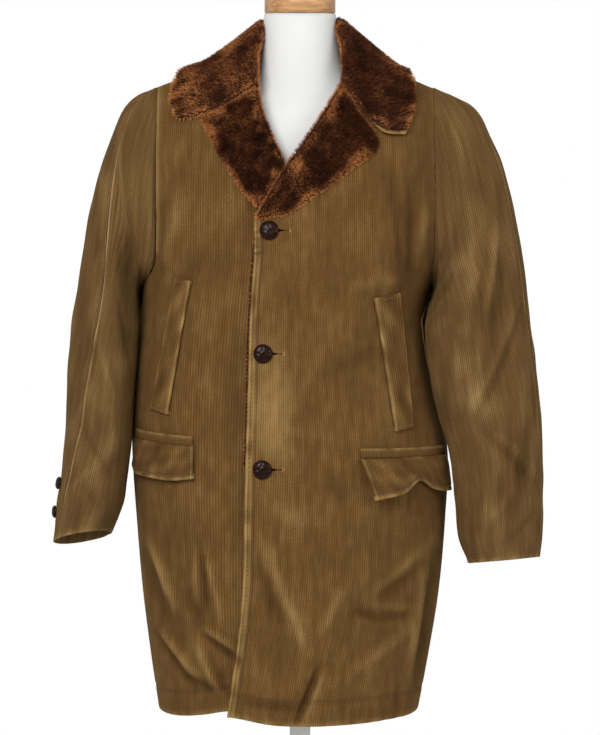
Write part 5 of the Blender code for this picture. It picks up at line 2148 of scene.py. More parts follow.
@dataclass
class Pelt:
    """A fur sheet: a dark skin with strands that stand on it.

    Attributes:
        name: The piece's name.
        grid: The pile's outer surface.
        depth: Height of the pile.
        count: How many strands it has.
        seed: Number that picks one pattern.
        tone: How light the strands are.
        rim_light: How much painted light the strands get beside the edges.
        rim: How wide that is.
        row_lights: How much painted light they get at the first and last row.
        lean: How far they lean towards the outer edge.
        tuft: Size of the tufts.
        width: Width of a strand.
        pad: Share of the pile's height that is solid.
        trim: Columns by which the pad ends before the pile does.
        fold_wall: Thickness of the roll at the fold, if it isn't the pad's.
    """

    name: str
    grid: Grid
    depth: float
    count: int
    seed: int
    tone: float = 0.35
    rim_light: float = 0.40
    rim: float = 0.015
    row_lights: tuple[float, float] = (0.0, 0.0)
    lean: float = 0.38
    tuft: float = 0.0050
    width: float = 0.00066
    pad: float = 0.36
    trim: int = 1
    fold_wall: float = 0.0

    def skin(self) -> Grid:
        """The pad that the strands stand on, with rounded edges.

        Returns:
            The pad's surface.
        """
        base = self.grid.trimmed(0, self.trim).raised(-self.depth * (1 - self.pad))
        wall = self.depth * self.pad
        base = base.turned(Side.START, wall=self.fold_wall or wall, under=0.0)
        for side in (Side.END, Side.LOW, Side.HIGH):
            base = base.turned(side, wall=wall, under=0.0)
        return base

    def strands(self) -> tuple[Array, Array, Array]:
        """Works out points, faces and tones of the strands.

        Returns:
            The points, the faces and the tones.
        """
        draw = np.random.default_rng(self.seed)
        base = self.skin()
        rows, columns = base.wear.shape
        corner = base.points[:-1, :-1]
        area = np.linalg.norm(np.cross(base.points[1:, :-1] - corner, base.points[:-1, 1:] - corner), axis=2)
        chosen = draw.choice(area.size, self.count, p=(area / area.sum()).ravel())
        r = chosen // (columns - 1)
        c = chosen % (columns - 1)
        a = draw.random(self.count)[:, None]
        b = draw.random(self.count)[:, None]

        def at(values: Array) -> Array:
            """Reads values of the grid where the strands stand.

            Args:
                values: Values, rows by columns.

            Returns:
                One value for each strand.
            """
            return (
                values[r, c] * (1 - a) * (1 - b)
                + values[r + 1, c] * a * (1 - b)
                + values[r, c + 1] * (1 - a) * b
                + values[r + 1, c + 1] * a * b
            )

        root = at(base.points)
        normal = unit(at(base.normals))
        nap = unit(at(np.gradient(base.points, axis=1)))
        along = unit(at(np.gradient(base.points, axis=0)))
        share_row = (r + a[:, 0]) / (rows - 1)
        cloth = at(base.cloth)
        swirl = mottle(cloth[:, 0], cloth[:, 1], 0.030, self.seed + 1)
        sway = mottle(cloth[:, 0], cloth[:, 1], 0.018, self.seed + 2)
        patch = mottle(cloth[:, 0], cloth[:, 1], 0.060, self.seed + 3)
        cell = np.floor(cloth / self.tuft)
        tuft_draw = np.sin(cell[:, 0] * 127.1 + cell[:, 1] * 311.7 + self.seed) * 43758.5453
        tuft_turn = (tuft_draw - np.floor(tuft_draw)) * 2 * math.pi
        centre = (cell + 0.5) * self.tuft - cloth
        direction = normal + nap * (self.lean + 0.25 * swirl)[:, None] + along * (0.30 * sway)[:, None]
        direction = direction + nap * (0.12 * np.cos(tuft_turn))[:, None]
        direction = direction + along * (0.12 * np.sin(tuft_turn))[:, None]
        direction = unit(direction + draw.normal(0, 0.16, root.shape))
        pull = nap * centre[:, :1] + along * centre[:, 1:]
        length = self.depth * (1 - self.pad) * draw.uniform(0.85, 1.25, self.count) * (1.02 + 0.12 * swirl)
        side = unit(np.cross(direction, draw.normal(0, 1, root.shape)))
        half = (self.width * draw.uniform(0.7, 1.25, self.count) / 2)[:, None]
        droop = -normal * 0.12 + nap * 0.2
        middle = root + direction * (length * 0.55)[:, None] + pull * 0.08
        tip = root + unit(direction + droop * 0.6) * length[:, None] + pull * 0.18
        narrow = side * half * 0.85
        corners = [root - side * half, root + side * half, middle - narrow, middle + narrow, tip]
        points = np.stack(corners, axis=1)
        faces = np.array([[0, 1, 3], [0, 3, 2], [2, 3, 4]])[None] + (np.arange(self.count) * 5)[:, None, None]
        away = at(np.min([base.edge_distance(edge) for edge in Side], axis=0)[..., None])[:, 0]
        # Painted light on the strands along the pelt's edges and its first and last rows.
        edge_light = self.rim_light * ease((self.rim * (1 + 0.4 * swirl) - away) / (0.8 * self.rim))
        edge_light = edge_light + self.row_lights[0] * ease((0.45 - share_row) / 0.4)
        edge_light = edge_light + self.row_lights[1] * ease((share_row - 0.55) / 0.4)
        tone = self.tone + edge_light * (1 + 0.3 * patch) + 0.16 * patch + 0.05 * swirl + 0.04 * np.cos(tuft_turn)
        tone = np.maximum(tone + draw.normal(0, 0.05, self.count), 0.05)
        tones = np.stack([tone * 0.45, tone * 0.45, tone * 0.9, tone * 0.9, tone * 1.2 + 0.03], axis=1)
        return points.reshape(-1, 3), faces.reshape(-1, 3), tones.ravel()

    def build(self, *nodes: str) -> tuple[Piece, Piece]:
        """Makes the skin and the strands.

        Args:
            nodes: Solids that they replace.

        Returns:
            The skin and its strands.
        """
        material = PILE.make()
        skin = self.skin()
        skin.wear = np.full(skin.wear.shape, 0.04)
        maker = MeshMaker(f"{self.name}_skin")
        maker.add_grid(skin)
        base = dress(maker.make(material), Slot.FUR, *nodes)
        points, faces, tones = self.strands()
        maker = MeshMaker(f"{self.name}_pile")
        maker.add(points, faces, np.zeros((len(points), 2)), tones)
        pile = dress(maker.make(material, weld=False), Slot.FUR)
        return base, pile


@dataclass
class Collar:
    """The collar's leaf, stand and undercollar, the lapels and the fur beside the front edge."""

    form: BodyForm
    fur: float = 0.008
    leaf_clear: float = 0.0128
    leaf_clear_side: float = 0.010
    under_gap: float = 0.0004
    lying_gap: float = 0.0012
    lapel_top: float = 1.447
    lapel_right_low: float = 1.352
    stand_foot: float = 1.506
    stand_ends: float = 3.0
    stand_inset: float = 0.0010
    stand_drop: float = 0.0125
    facing_low: float = 0.960
    facing_top: float = 1.281
    facing_peek: float = 0.004
    facing_width: float = 0.030
    facing_sink: float = 0.0034
    facing_fur: float = 0.003
    stand_fur: float = 0.0035
    strands: dict[str, int] = field(default_factory=lambda: {
        "collar": 46000,
        "lapel_left": 19500,
        "lapel_right": 19500,
        "collar_stand": 3000,
        "facing_left": 5000,
    })
    stations: tuple[Station, ...] = (
        Station(-0.0600, -0.090, 1.461, -0.166, -0.076, 1.413, -0.008, -0.012),
        Station(-0.0630, -0.058, 1.496, -0.175, -0.052, 1.438, 0.000, -0.004),
        Station(-0.0580, -0.012, 1.541, -0.1525, 0.012, 1.480, -0.002, 0.000),
        Station(-0.0490, 0.046, 1.549, -0.110, 0.104, 1.466, 0.006, 0.002),
        Station(0.0000, 0.0685, 1.552, 0.000, 0.146, 1.450, 0.008, 0.004),
        Station(0.0490, 0.046, 1.550, 0.104, 0.104, 1.466, 0.006, 0.002),
        Station(0.0590, -0.012, 1.545, 0.1420, 0.012, 1.481, 0.000, 0.000),
        Station(0.0640, -0.058, 1.496, 0.155, -0.058, 1.440, -0.004, -0.004),
        Station(0.0610, -0.092, 1.459, 0.143, -0.096, 1.402, -0.020, -0.016),
    )
    lapel_left_edge: tuple[tuple[float, float], ...] = (
        (-0.054, 1.2835),
        (-0.024, 1.287),
        (0.016, 1.311),
        (0.065, 1.3455),
        (0.101, 1.380),
        (0.094, 1.397),
    )
    lapel_right_edge: tuple[tuple[float, float], ...] = (
        (-0.0545, 1.2965),
        (-0.0725, 1.318),
        (-0.0861, 1.3375),
        (-0.1033, 1.364),
        (-0.120, 1.396),
        (-0.128, 1.409),
    )

    def rail(self, rail: Rail, station: float) -> Array:
        """Point of the leaf's fold or edge at a station."""
        return np.array([read_row(self.stations, f"{rail.value}_{axis}", station) for axis in "xyz"])

    def leaf(self, rows: int, columns: int) -> Array:
        """The leaf from its fold to its edge.

        Args:
            rows: Rows of points, less one.
            columns: Columns of points, less one.

        Returns:
            Rows of points on the pile's outer surface.
        """
        across = np.linspace(0, 1, columns + 1)
        lines = []
        for station in np.linspace(0, len(self.stations) - 1, rows + 1):
            fold = self.rail(Rail.FOLD, station)
            line = fold + (self.rail(Rail.EDGE, station) - fold) * across[:, None]
            line[:, 1] += read_row(self.stations, "bow", station) * np.sin(math.pi * across)
            line[:, 2] += read_row(self.stations, "rise", station) * np.sin(math.pi * across)
            lines.append(line)
        return self.clear_of_body(np.array(lines))

    def clear_of_body(self, rows: Array) -> Array:
        """Moves points out from the shoulders where they would lie closer than the leaf is thick.

        Args:
            rows: Rows of points.

        Returns:
            The moved points.
        """
        form = self.form
        x = rows[..., 0]
        y = rows[..., 1]
        z = rows[..., 2]
        for _ in range(4):
            middle, half = form.width_at(z)
            share = np.clip(np.abs(x - middle) / half, 0, 1)
            depth = np.where(y < 0, read(form.sections, "front", z), read(form.sections, "back", z))
            clear = self.leaf_clear + self.leaf_clear_side * share**4
            depth = depth * (1 - share**form.square) ** (1 / form.square) + clear
            rise = form.shoulder_line(x) - form.yoke + clear
            inside = np.clip(1 - (y / depth) ** 2 - ((z - form.yoke) / rise) ** 2, 0, None)
            slope_y = 2 * y / depth**2
            slope_z = 2 * (z - form.yoke) / rise**2
            step = inside / (slope_y**2 + slope_z**2)
            y = y + step * slope_y
            z = z + step * slope_z
        return np.stack([x, y, z], axis=-1)

    def lapel(self, roll: tuple[Edge, ...], edge: tuple, low: float, rows: int, columns: int) -> Array:
        """A lapel from its roll line to its outer edge.

        Args:
            roll: The roll line.
            edge: Points of the outer edge, seen from the front.
            low: Height of the roll line's foot.
            rows: Rows of points up the lapel.
            columns: Columns of points across it.

        Returns:
            Rows of points on the pile's outer surface.
        """
        shares = np.linspace(0, 1, rows + 1)
        heights = np.linspace(low, self.lapel_top, 9)
        inner = along_line(np.stack([read(roll, "x", heights), heights], axis=-1), shares)
        outer = along_line(edge, shares)
        places = inner[:, None] + (outer - inner)[:, None] * np.linspace(0, 1, columns + 1)[None, :, None]
        return self.form.lying(places, self.lying_gap + self.fur)

    def stand(self, rows: int, columns: int) -> Array:
        """The band inside the collar, from the back neckline up to the fold.

        Args:
            rows: Rows of points, less one.
            columns: Columns of points, less one.

        Returns:
            Rows of points on the pile's outer surface.
        """
        lines = []
        last = len(self.stations) - 1 - self.stand_ends
        for station in np.linspace(self.stand_ends, last, rows + 1):
            fold = self.rail(Rail.FOLD, station)
            inward = unit(np.array([-fold[0], -fold[1], 0.0]))
            top = fold + inward * self.stand_inset - np.array([0, 0, self.stand_drop])
            foot = np.array([top[0], top[1], self.stand_foot])
            lines.append(top + (foot - top) * np.linspace(0, 1, columns + 1)[:, None])
        return np.array(lines)

    def facing(self, rows: int, columns: int) -> Array:
        """The fur edge behind the front edge of the overlapping front.

        Args:
            rows: Rows of points, less one.
            columns: Columns of points, less one.

        Returns:
            Rows of points on the pile's outer surface.
        """
        lines = []
        for z in np.linspace(self.facing_low, self.facing_top, rows + 1):
            edge = float(read(self.form.edge_left, "x", z))
            x = np.linspace(edge + self.facing_width, edge - self.facing_peek, columns + 1)
            lines.append(self.form.lying(np.stack([x, np.full_like(x, z)], axis=-1), -self.facing_sink))
        return np.array(lines)

    def build(self) -> list[Piece]:
        """Returns:
            The pieces.
        """
        inside = INSIDE_CHEST
        strands = self.strands
        made = []
        leaf = Grid.over(self.leaf(150, 40), inside)
        # Painted light along the collar's fold; its outer edge a touch darker.
        rows = (0.26, -0.02)
        collar = Pelt("collar", leaf, self.fur, strands["collar"], SEED, row_lights=rows, fold_wall=0.012)
        skin, pile = collar.build("collar")
        made.extend([skin, pile])
        under = leaf.raised(-self.fur - self.under_gap)
        under = Grid.over(under.points[:, 12:], inside)
        under = under.grown(Side.HIGH, 0.006 * ease((np.linspace(0, 1, 29) - 0.2) / 0.3))
        under.wear = np.full(under.wear.shape, 0.1)
        for side in (Side.LOW, Side.HIGH, Side.END):
            under = under.pale(side, 0.008, 0.9).turned(side, wall=0.0012, under=0.004)
        piece = dressed("undercollar_cloth", under, BODY_CLOTH, Slot.CORDUROY, "undercollar")
        made.append(piece)
        form = self.form
        left = self.lapel(form.roll_left, self.lapel_left_edge, form.break_height, 60, 40)
        left = Grid.over(left, inside).grown(Side.HIGH, 0.012 * ease((0.75 - np.linspace(0, 1, 41)) / 0.5))
        right = self.lapel(form.roll_right, self.lapel_right_edge, self.lapel_right_low, 60, 40)
        right = Grid.over(right, inside)
        stand = Grid.over(self.stand(40, 10), np.array([0.0, 0.0, 1.5]))
        facing = Grid.over(self.facing(80, 10), inside)
        # Each lapel's last pair is painted light at its first and last rows.
        lapels = (
            ("lapel_left", left, 0.12, 0.20, SEED + 10, (0.24, 0.0)),
            ("lapel_right", right, 0.10, 0.17, SEED + 20, (0.0, 0.04)),
        )
        for name, grid, width, length, seed, rows in lapels:
            skin, pile = Pelt(name, grid, self.fur, strands[name], seed, row_lights=rows).build(name)
            made.extend([skin, pile])
        looks = {"lean": 0.9, "tone": 0.5}
        bands = (
            ("collar_stand", stand, self.stand_fur, (0.12, 0.035), "form_torso", SEED + 40, {}),
            ("facing_left", facing, self.facing_fur, (0.034, 0.33), "front_left_cloth", SEED + 50, looks),
        )
        for name, grid, depth, flat, carrier, seed, look in bands:
            skin, pile = Pelt(name, grid, depth, strands[name], seed, trim=0, **look).build(name)
            made.extend([skin, pile])
        return made


@dataclass
class Pockets:
    """Slanted welts, and flaps with the bands above them."""

    form: BodyForm
    sewing: Sewing
    welt_lift: float = 0.0044
    flap_lift: float = 0.005
    jet_height: float = 0.011
    jet_lift: float = 0.0026
    jet_past: float = 0.007
    carriers: tuple[str, ...] = ("front_left_cloth", "front_right_cloth")
    stitch: float = 0.0045
    welt_stitch: float = 0.004
    jet_stitch: float = 0.0025
    welt_wall: float = 0.0022
    flap_wall: float = 0.0032
    jet_wall: float = 0.0016
    # Half width, depth and painted shade of the flap's stitch grooves.
    flap_groove: tuple[float, float, float] = (0.0013, 0.0008, 0.3)
    flap_worn: float = 0.0035
    flap_under: float = 0.005
    flap_dip: tuple[float, float] = (0.002, 0.004)
    welt_flat: tuple[float, float] = (0.042, 0.186)
    flap_length: float = 0.085
    jet_length: float = 0.018
    welts: dict[Arm, Welt] = field(default_factory=lambda: {
        Arm.LEFT: Welt((0.0963, 1.176), (0.1290, 1.183), (0.1236, 1.003), (0.1470, 1.007)),
        Arm.RIGHT: Welt((-0.1418, 1.198), (-0.1613, 1.202), (-0.1717, 1.025), (-0.1945, 1.030)),
    })
    flaps: dict[Arm, Flap] = field(default_factory=lambda: {
        Arm.LEFT: Flap(0.079, 71.0, 0.970, 0.967, 44, 0.135, 0.0036, 0.0),
        Arm.RIGHT: Flap(-0.139, -70.0, 0.985, 0.990, 34, 0.105, 0.0, 0.010),
    })
    drops: dict[Arm, tuple[Drop, ...]] = field(default_factory=lambda: {
        Arm.LEFT: (
            Drop(0.00, -0.053, 0.020, 0.014),
            Drop(0.25, -0.046, 0.020, 0.008),
            Drop(0.55, -0.031, 0.009, 0.000),
            Drop(0.72, -0.043, 0.009, 0.000),
            Drop(1.00, -0.046, 0.014, 0.000),
        ),
        Arm.RIGHT: (
            Drop(0.00, -0.042, 0.009, 0.000),
            Drop(0.20, -0.046, 0.010, 0.000),
            Drop(0.60, -0.047, 0.009, 0.000),
            Drop(1.00, -0.046, 0.009, 0.000),
        ),
    })

    def welt(self, arm: Arm) -> Piece:
        """Makes a welt with a worn, stitched inner side.

        Args:
            arm: The welt's side.

        Returns:
            The piece.
        """
        welt = self.welts[arm]
        down = np.linspace(0, 1, 61)[:, None, None]
        over = np.linspace(0, 1, 10 * WALE_COLUMNS + 1)[None, :, None]
        top = np.array(welt.top_in) + (np.array(welt.top_out) - np.array(welt.top_in)) * over
        low = np.array(welt.low_in) + (np.array(welt.low_out) - np.array(welt.low_in)) * over
        points = self.form.lying(top + (low - top) * down, self.welt_lift)
        grid = Grid.over(points, np.array([0.0, 0.0, 1.1])).waled()
        u, v = grid.flat()
        grid = grid.raised(0.0005 * mottle(u, v, 0.03, 41)).worn(0.3 * mottle(u, v * 0.5, 0.03, 43))
        grid = grid.pale(Side.START, 0.004, 0.8).pale(Side.END, 0.003, 0.45)
        for side in (Side.START, Side.LOW, Side.HIGH):
            self.sew(grid, side, self.welt_stitch)
        for side in Side:
            grid = grid.turned(side, wall=self.welt_wall, under=0.004)
        node = f"welt_{arm.label}"
        piece = dressed(f"{node}_cloth", grid, BODY_CLOTH, Slot.CORDUROY, node)
        return piece

    def sew(self, grid: Grid, side: Side, distance: float) -> None:
        """Sews along an edge of a grid, at a distance from it.

        Args:
            grid: The cloth.
            side: The edge.
            distance: The distance in metres.
        """
        line = grid.beside(side, distance)
        inner = slice(2, -2)
        kept = (line, inner) if side in (Side.LOW, Side.HIGH) else (inner, line)
        self.sewing.along(grid.points[kept], grid.normals[kept], STITCH_LIFT)

    def seam(self, arm: Arm) -> tuple[Array, Array, Array]:
        """Shares along a flap's seam, with the angle and height at each.

        Args:
            arm: The flap's side.

        Returns:
            The shares, the angles and the heights.
        """
        flap = self.flaps[arm]
        over = np.linspace(0, 1, flap.wales * WALE_COLUMNS + 1)
        first = float(self.form.angle_at(flap.start, flap.seam_in))
        angles = self.form.level_angles(flap.seam_in, first, math.radians(flap.end_degrees), over)
        return over, angles, flap.seam_in + (flap.seam_out - flap.seam_in) * over

    def flap(self, arm: Arm) -> Piece:
        """Makes a loose flap that hangs from its seam, with its drop and curl.

        Args:
            arm: The flap's side.

        Returns:
            The piece.
        """
        flap = self.flaps[arm]
        drops = self.drops[arm]
        over, angles, seam = self.seam(arm)
        rows = []
        for down in np.linspace(0, 1, 41):
            lift = self.flap_lift + (read(drops, "out", over) - self.flap_lift) * down**0.8
            past = (over - 0.38 - 0.41 * (down - 0.1) / 0.85) * 0.112
            lift = lift + flap.ridge * np.exp(-((past / 0.007) ** 2)) * float(ease(down / 0.35))
            corner = flap.corner * np.maximum(0, 1 - (1 - over) / 0.09) ** 2
            z = seam + (read(drops, "low", over) + corner) * down
            row = self.form.lying(np.stack([self.form.x_at(angles, z), z], axis=-1), lift)
            row[:, 0] += arm.value * read(drops, "shift", over) * down
            rows.append(row)
        grid = Grid.over(np.array(rows), INSIDE_SKIRT).waled()
        u, v = grid.flat()
        grid = grid.raised(0.0007 * mottle(u, v, 0.03, 47)).worn(0.3 * mottle(u, v, 0.03, 49))
        loose = (Side.START, Side.HIGH, Side.END)
        for side in loose:
            grid = grid.pale(side, self.flap_worn, 0.6).grooved(side, self.stitch, *self.flap_groove)
        for side in loose:
            self.sew(grid, side, self.stitch)
        wall = self.flap_wall
        grid = grid.turned(Side.START, wall=wall).turned(Side.END, wall=wall)
        grid = grid.turned(Side.HIGH, wall=wall, under=self.flap_under).sunk(Side.LOW, *self.flap_dip)
        node = f"flap_{arm.label}"
        piece = dressed(f"{node}_cloth", grid, BODY_CLOTH, Slot.CORDUROY, node)
        return piece

    def jet(self, arm: Arm) -> Piece:
        """Makes the band above a flap.

        Args:
            arm: The flap's side.

        Returns:
            The piece.
        """
        _, angles, seam = self.seam(arm)
        rows = []
        for up in np.linspace(0, 1, 11):
            z = seam + self.jet_height * up
            bulge = self.jet_lift + 0.0008 * math.sin(math.pi * up)
            rows.append(self.form.lying(np.stack([self.form.x_at(angles, z), z], axis=-1), bulge))
        grid = Grid.over(np.array(rows), INSIDE_SKIRT).waled()
        grid = grid.pale(Side.HIGH, 0.003, 0.6)
        self.sew(grid, Side.HIGH, self.jet_stitch)
        for side in Side:
            grid = grid.turned(side, wall=self.jet_wall, under=0.003)
        node = f"jet_{arm.label}"
        piece = dressed(f"{node}_cloth", grid, BODY_CLOTH, Slot.CORDUROY, node)
        return piece

    def build(self) -> list[Piece]:
        """Makes all pocket pieces.

        Returns:
            The pieces.
        """
        made = [self.welt(arm) for arm in self.welts]
        for arm in self.flaps:
            made.append(self.flap(arm))
            made.append(self.jet(arm))
        return made


@dataclass
class Lathe:
    """A turned piece from a profile of radius and height."""

    profile: list[tuple[float, float]]
    steps: int = 64

    def grid(self, place: Array, axis: Array) -> Grid:
        """The turned surface, placed with its axis along a direction.

        Args:
            place: Where the profile's zero height is.
            axis: Direction of the axis.

        Returns:
            The surface.
        """
        up = unit(axis)
        other = np.array([0.3, 0.1, 1.0]) if abs(up[2]) < 0.9 else np.array([1.0, 0.0, 0.0])
        side = unit(np.cross(up, other))
        ahead = np.cross(up, side)
        turn = np.linspace(0, 2 * math.pi, self.steps + 1)
        radius = np.array([max(r, 1e-5) for r, _ in self.profile])[:, None, None]
        height = np.array([h for _, h in self.profile])[:, None, None]
        ring = (side[None] * np.cos(turn)[:, None] + ahead[None] * np.sin(turn)[:, None])[None]
        middle = place + up * np.mean([h for _, h in self.profile])
        return Grid.over(place + ring * radius + up * height, middle)


@dataclass
class Buttons:
    """Domed leather buttons, their shank rims and the worked buttonholes beside them."""

    form: BodyForm
    sleeves: dict[Arm, Sleeve]
    front_size: tuple[float, float] = (0.0125, 0.0062)
    cuff_size: tuple[float, float] = (0.0085, 0.0048)
    lying_gap: float = 0.0012
    cuff_rings: tuple[float, float] = (9.55, 10.3)
    hole_start: float = -0.004
    hole_reach: float = 0.026
    hole_lip: float = 0.0016
    hole_lift: float = 0.0010
    end_rays: tuple[float, float] = (0.0005, 0.0034)
    end_lift: float = 0.0006
    places: dict[str, tuple[float, float]] = field(default_factory=lambda: {
        "button_top": (-0.040, 1.2655),
        "button_middle": (-0.048, 1.1055),
        "button_low": (-0.049, 0.955),
    })
    cuff_turn: dict[Arm, float] = field(default_factory=lambda: {Arm.LEFT: -48.0, Arm.RIGHT: -32.0})

    def profile(self, radius: float, height: float) -> list[tuple[float, float]]:
        """Profile of a domed button with a rolled rim and a flat underside.

        Args:
            radius: The button's radius.
            height: Its height.

        Returns:
            Pairs of radius and height.
        """
        crown = [
            (radius * 0.93 * math.sin(t), height * (0.42 + 0.58 * math.cos(t)))
            for t in np.linspace(0, math.pi / 2, 14)
        ]
        rim = [
            (radius * (0.95 + 0.05 * math.sin(t)), height * (0.25 + 0.17 * math.cos(t)))
            for t in np.linspace(0.3, math.pi - 0.2, 8)
        ]
        return [*crown, *rim, (radius * 0.8, 0.0), (0.0, 0.0)]

    def button(
        self, name: str, size: tuple[float, float], place: Array, axis: Array
    ) -> Piece:
        """Makes one button.

        Args:
            name: The solid that it stands for.
            size: Its radius and height.
            place: The middle of its underside.
            axis: The way it faces.

        Returns:
            The piece.
        """
        radius, height = size
        grid = Lathe(self.profile(radius, height)).grid(place, axis)
        out = unit(axis)
        right = unit(np.cross(np.array([0.0, 0.0, 1.0]), out))
        up = np.cross(out, right)
        a = (grid.points - place) @ right / radius
        b = (grid.points - place) @ up / radius
        away = np.hypot(a, b)
        strands = np.exp(-((a / 0.09) ** 2)) + np.exp(-((b / 0.09) ** 2))
        knot = np.exp(-(((np.maximum(np.abs(a + b), np.abs(a - b)) - 0.40) / 0.08) ** 2))
        groove = strands * ease((away - 0.25) / 0.1) * ease((0.97 - away) / 0.15) + knot
        top = (grid.points - place) @ out > 0.1 * height
        grid = grid.raised(-0.0005 * np.clip(groove, 0, 1) * top)
        return dressed(f"{name}_leather", grid, HIDE, Slot.LEATHER, name)

    def gape(self, at: Array | float) -> Array:
        """Half the opening of a buttonhole, which the shank holds open, at distances from the button."""
        return 0.0003 + 0.0022 * ease((0.86 - np.asarray(at) / self.hole_reach) / 0.6)

    def holes(self) -> list[Piece]:
        """Makes the buttonholes: a slit of painted shade with stitches worked across its lips.

        Returns:
            The stitches and the painted shade of the slits.
        """
        sewing = Sewing("buttonhole_stitches", stitch=0.0024, gap=0.0, radius=0.00034)
        maker = MeshMaker("buttonhole_slit_shade")
        for x, z in self.places.values():
            run = np.linspace(self.hole_start, self.hole_reach, 40)
            for lip in (-1, 1):
                for at in np.linspace(self.hole_start, self.hole_reach, 30):
                    start = self.gape(at)
                    ends = (start, start + self.hole_lip)
                    places = np.array([[x + at, z + lip * end] for end in ends])
                    line = self.form.lying(places, self.hole_lift)
                    sewing.along(line, self.form.normal(places[:, 0], places[:, 1]))
            for turn in np.linspace(-math.pi / 2, math.pi / 2, 9):
                ray = np.array([math.cos(turn), math.sin(turn)])
                middle = np.array([x + self.hole_reach, z])
                places = np.stack([middle + ray * reach for reach in self.end_rays])
                line = self.form.lying(places, self.end_lift)
                sewing.along(line, self.form.normal(places[:, 0], places[:, 1]))
            # The slit is a near-black sheet: painted shade in the opening.
            slit = np.stack([
                np.stack([x + run, z + rise * self.gape(run)], axis=-1) for rise in (-1.0, 0.0, 1.0)
            ])
            grid = Grid.over(self.form.lying(slit, self.hole_lift), np.array([0.0, 0.0, z]))
            grid.wear = np.full(grid.wear.shape, -1.0)
            maker.add_grid(grid)
        stitches = dress(sewing.build(HOLE_THREAD.make()), Slot.CORDUROY)
        return [stitches, dress(maker.make(HOLE_SHADE.make()), Slot.CORDUROY)]

    def build(self) -> list[Piece]:
        """Makes all buttons and buttonholes.

        Returns:
            The pieces.
        """
        made = self.holes()
        for name, (x, z) in self.places.items():
            place = np.array([[x, z]])
            axis = self.form.normal(place[:, 0], place[:, 1])[0]
            place = self.form.lying(place, self.lying_gap)[0]
            made.append(self.button(name, self.front_size, place, axis))
        for arm, sleeve in self.sleeves.items():
            for number, ring in enumerate(self.cuff_rings, 1):
                degrees = np.array([sleeve.seam(ring) + self.cuff_turn[arm]])
                point = sleeve.ring(ring, degrees, fine=False)[0]
                axis = unit(point - sleeve.centre(ring))
                name = f"cuff_button_{arm.label}_{number}"
                made.append(self.button(name, self.cuff_size, point + axis * self.lying_gap, axis))
        return made


@dataclass
class DressForm:
    """The covered torso with its wooden cap, and the stand that carries it."""

    setback: float = 0.005
    cap_radius: float = 0.0475
    cap_height: float = 0.030
    cap_round: float = 0.010
    cap_bevel: float = 0.002
    cap_gap: float = 0.0003
    steps: int = 72
    rings: int = 84
    torso: tuple[Torso, ...] = (
        Torso(0.860, 0.130, 0.095, 0.105),
        Torso(0.900, 0.146, 0.112, 0.120),
        Torso(0.970, 0.150, 0.116, 0.122),
        Torso(1.070, 0.138, 0.112, 0.112),
        Torso(1.180, 0.140, 0.116, 0.116),
        Torso(1.290, 0.152, 0.118, 0.118),
        Torso(1.370, 0.158, 0.106, 0.108),
        Torso(1.405, 0.152, 0.094, 0.096),
        Torso(1.428, 0.134, 0.082, 0.086),
        Torso(1.446, 0.098, 0.070, 0.074),
        Torso(1.462, 0.072, 0.060, 0.064),
        Torso(1.480, 0.0600, 0.053, 0.057),
        Torso(1.503, 0.0540, 0.048, 0.055),
        Torso(1.530, 0.0500, 0.045, 0.054),
        Torso(1.5535, 0.0480, 0.043, 0.053),
    )

    def closing(self, row: Array, shares: tuple[float, ...]) -> list[Array]:
        """Smaller rings that close an end of the torso."""
        middle = np.array([0.0, self.setback, row[0, 2]])
        return [row * share + middle * (1 - share) for share in shares]

    def cover(self) -> Piece:
        """Makes the torso, closed below and at the neck.

        Returns:
            The piece.
        """
        turn = np.linspace(0, 2 * math.pi, self.steps + 1)
        rows = []
        for z in np.linspace(self.torso[0].height, self.torso[-1].height, self.rings + 1):
            front = read(self.torso, "front", z)
            back = read(self.torso, "back", z)
            depth = np.where(np.cos(turn) > 0, front, back)
            x = read(self.torso, "half_width", z) * np.sin(turn)
            rows.append(np.stack([x, self.setback - depth * np.cos(turn), np.full_like(x, z)], axis=-1))
        low = self.closing(rows[0], (0.001, 0.5, 0.97))
        high = self.closing(rows[-1], (0.97, 0.5, 0.001))
        grid = Grid.over(np.array([*low, *rows, *high]), np.array([0.0, 0.0, 1.2]))
        piece = dressed("form_cover", grid, COVER, Slot.JERSEY, "form_torso")
        return piece

    def cap(self) -> Piece:
        """Makes the turned cap with its rounded rim.

        Returns:
            The piece.
        """
        inner = self.cap_radius - self.cap_round
        rim = [
            (inner + self.cap_round * math.cos(t), self.cap_height - self.cap_round * (1 - math.sin(t)))
            for t in np.linspace(math.pi / 2, 0, 12)
        ]
        bevel = self.cap_bevel
        foot = [(self.cap_radius, bevel), (self.cap_radius - bevel, 0.0), (0.0, 0.0)]
        profile = [(0.0, self.cap_height), (inner * 0.5, self.cap_height), *rim, *foot]
        place = np.array([0.0, self.setback, self.torso[-1].height + self.cap_gap])
        grid = Lathe(profile, 96).grid(place, np.array([0.0, 0.0, 1.0]))
        return dressed("neck_cap_wood", grid, CAP_WOOD, Slot.WOOD, "neck_cap")

    def stand(self) -> None:
        """Gives the pole and base, which keep their solids, their enamel."""
        for name in ("stand_pole", "stand_base"):
            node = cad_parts[name]
            node.data.materials.clear()
            node.data.materials.append(STAND_ENAMEL.make())
            LOG.info("%s: enamelled", name)

    def build(self) -> list[Piece]:
        """Makes the torso and cap, and finishes the stand."""
        self.stand()
        return [self.cover(), self.cap()]


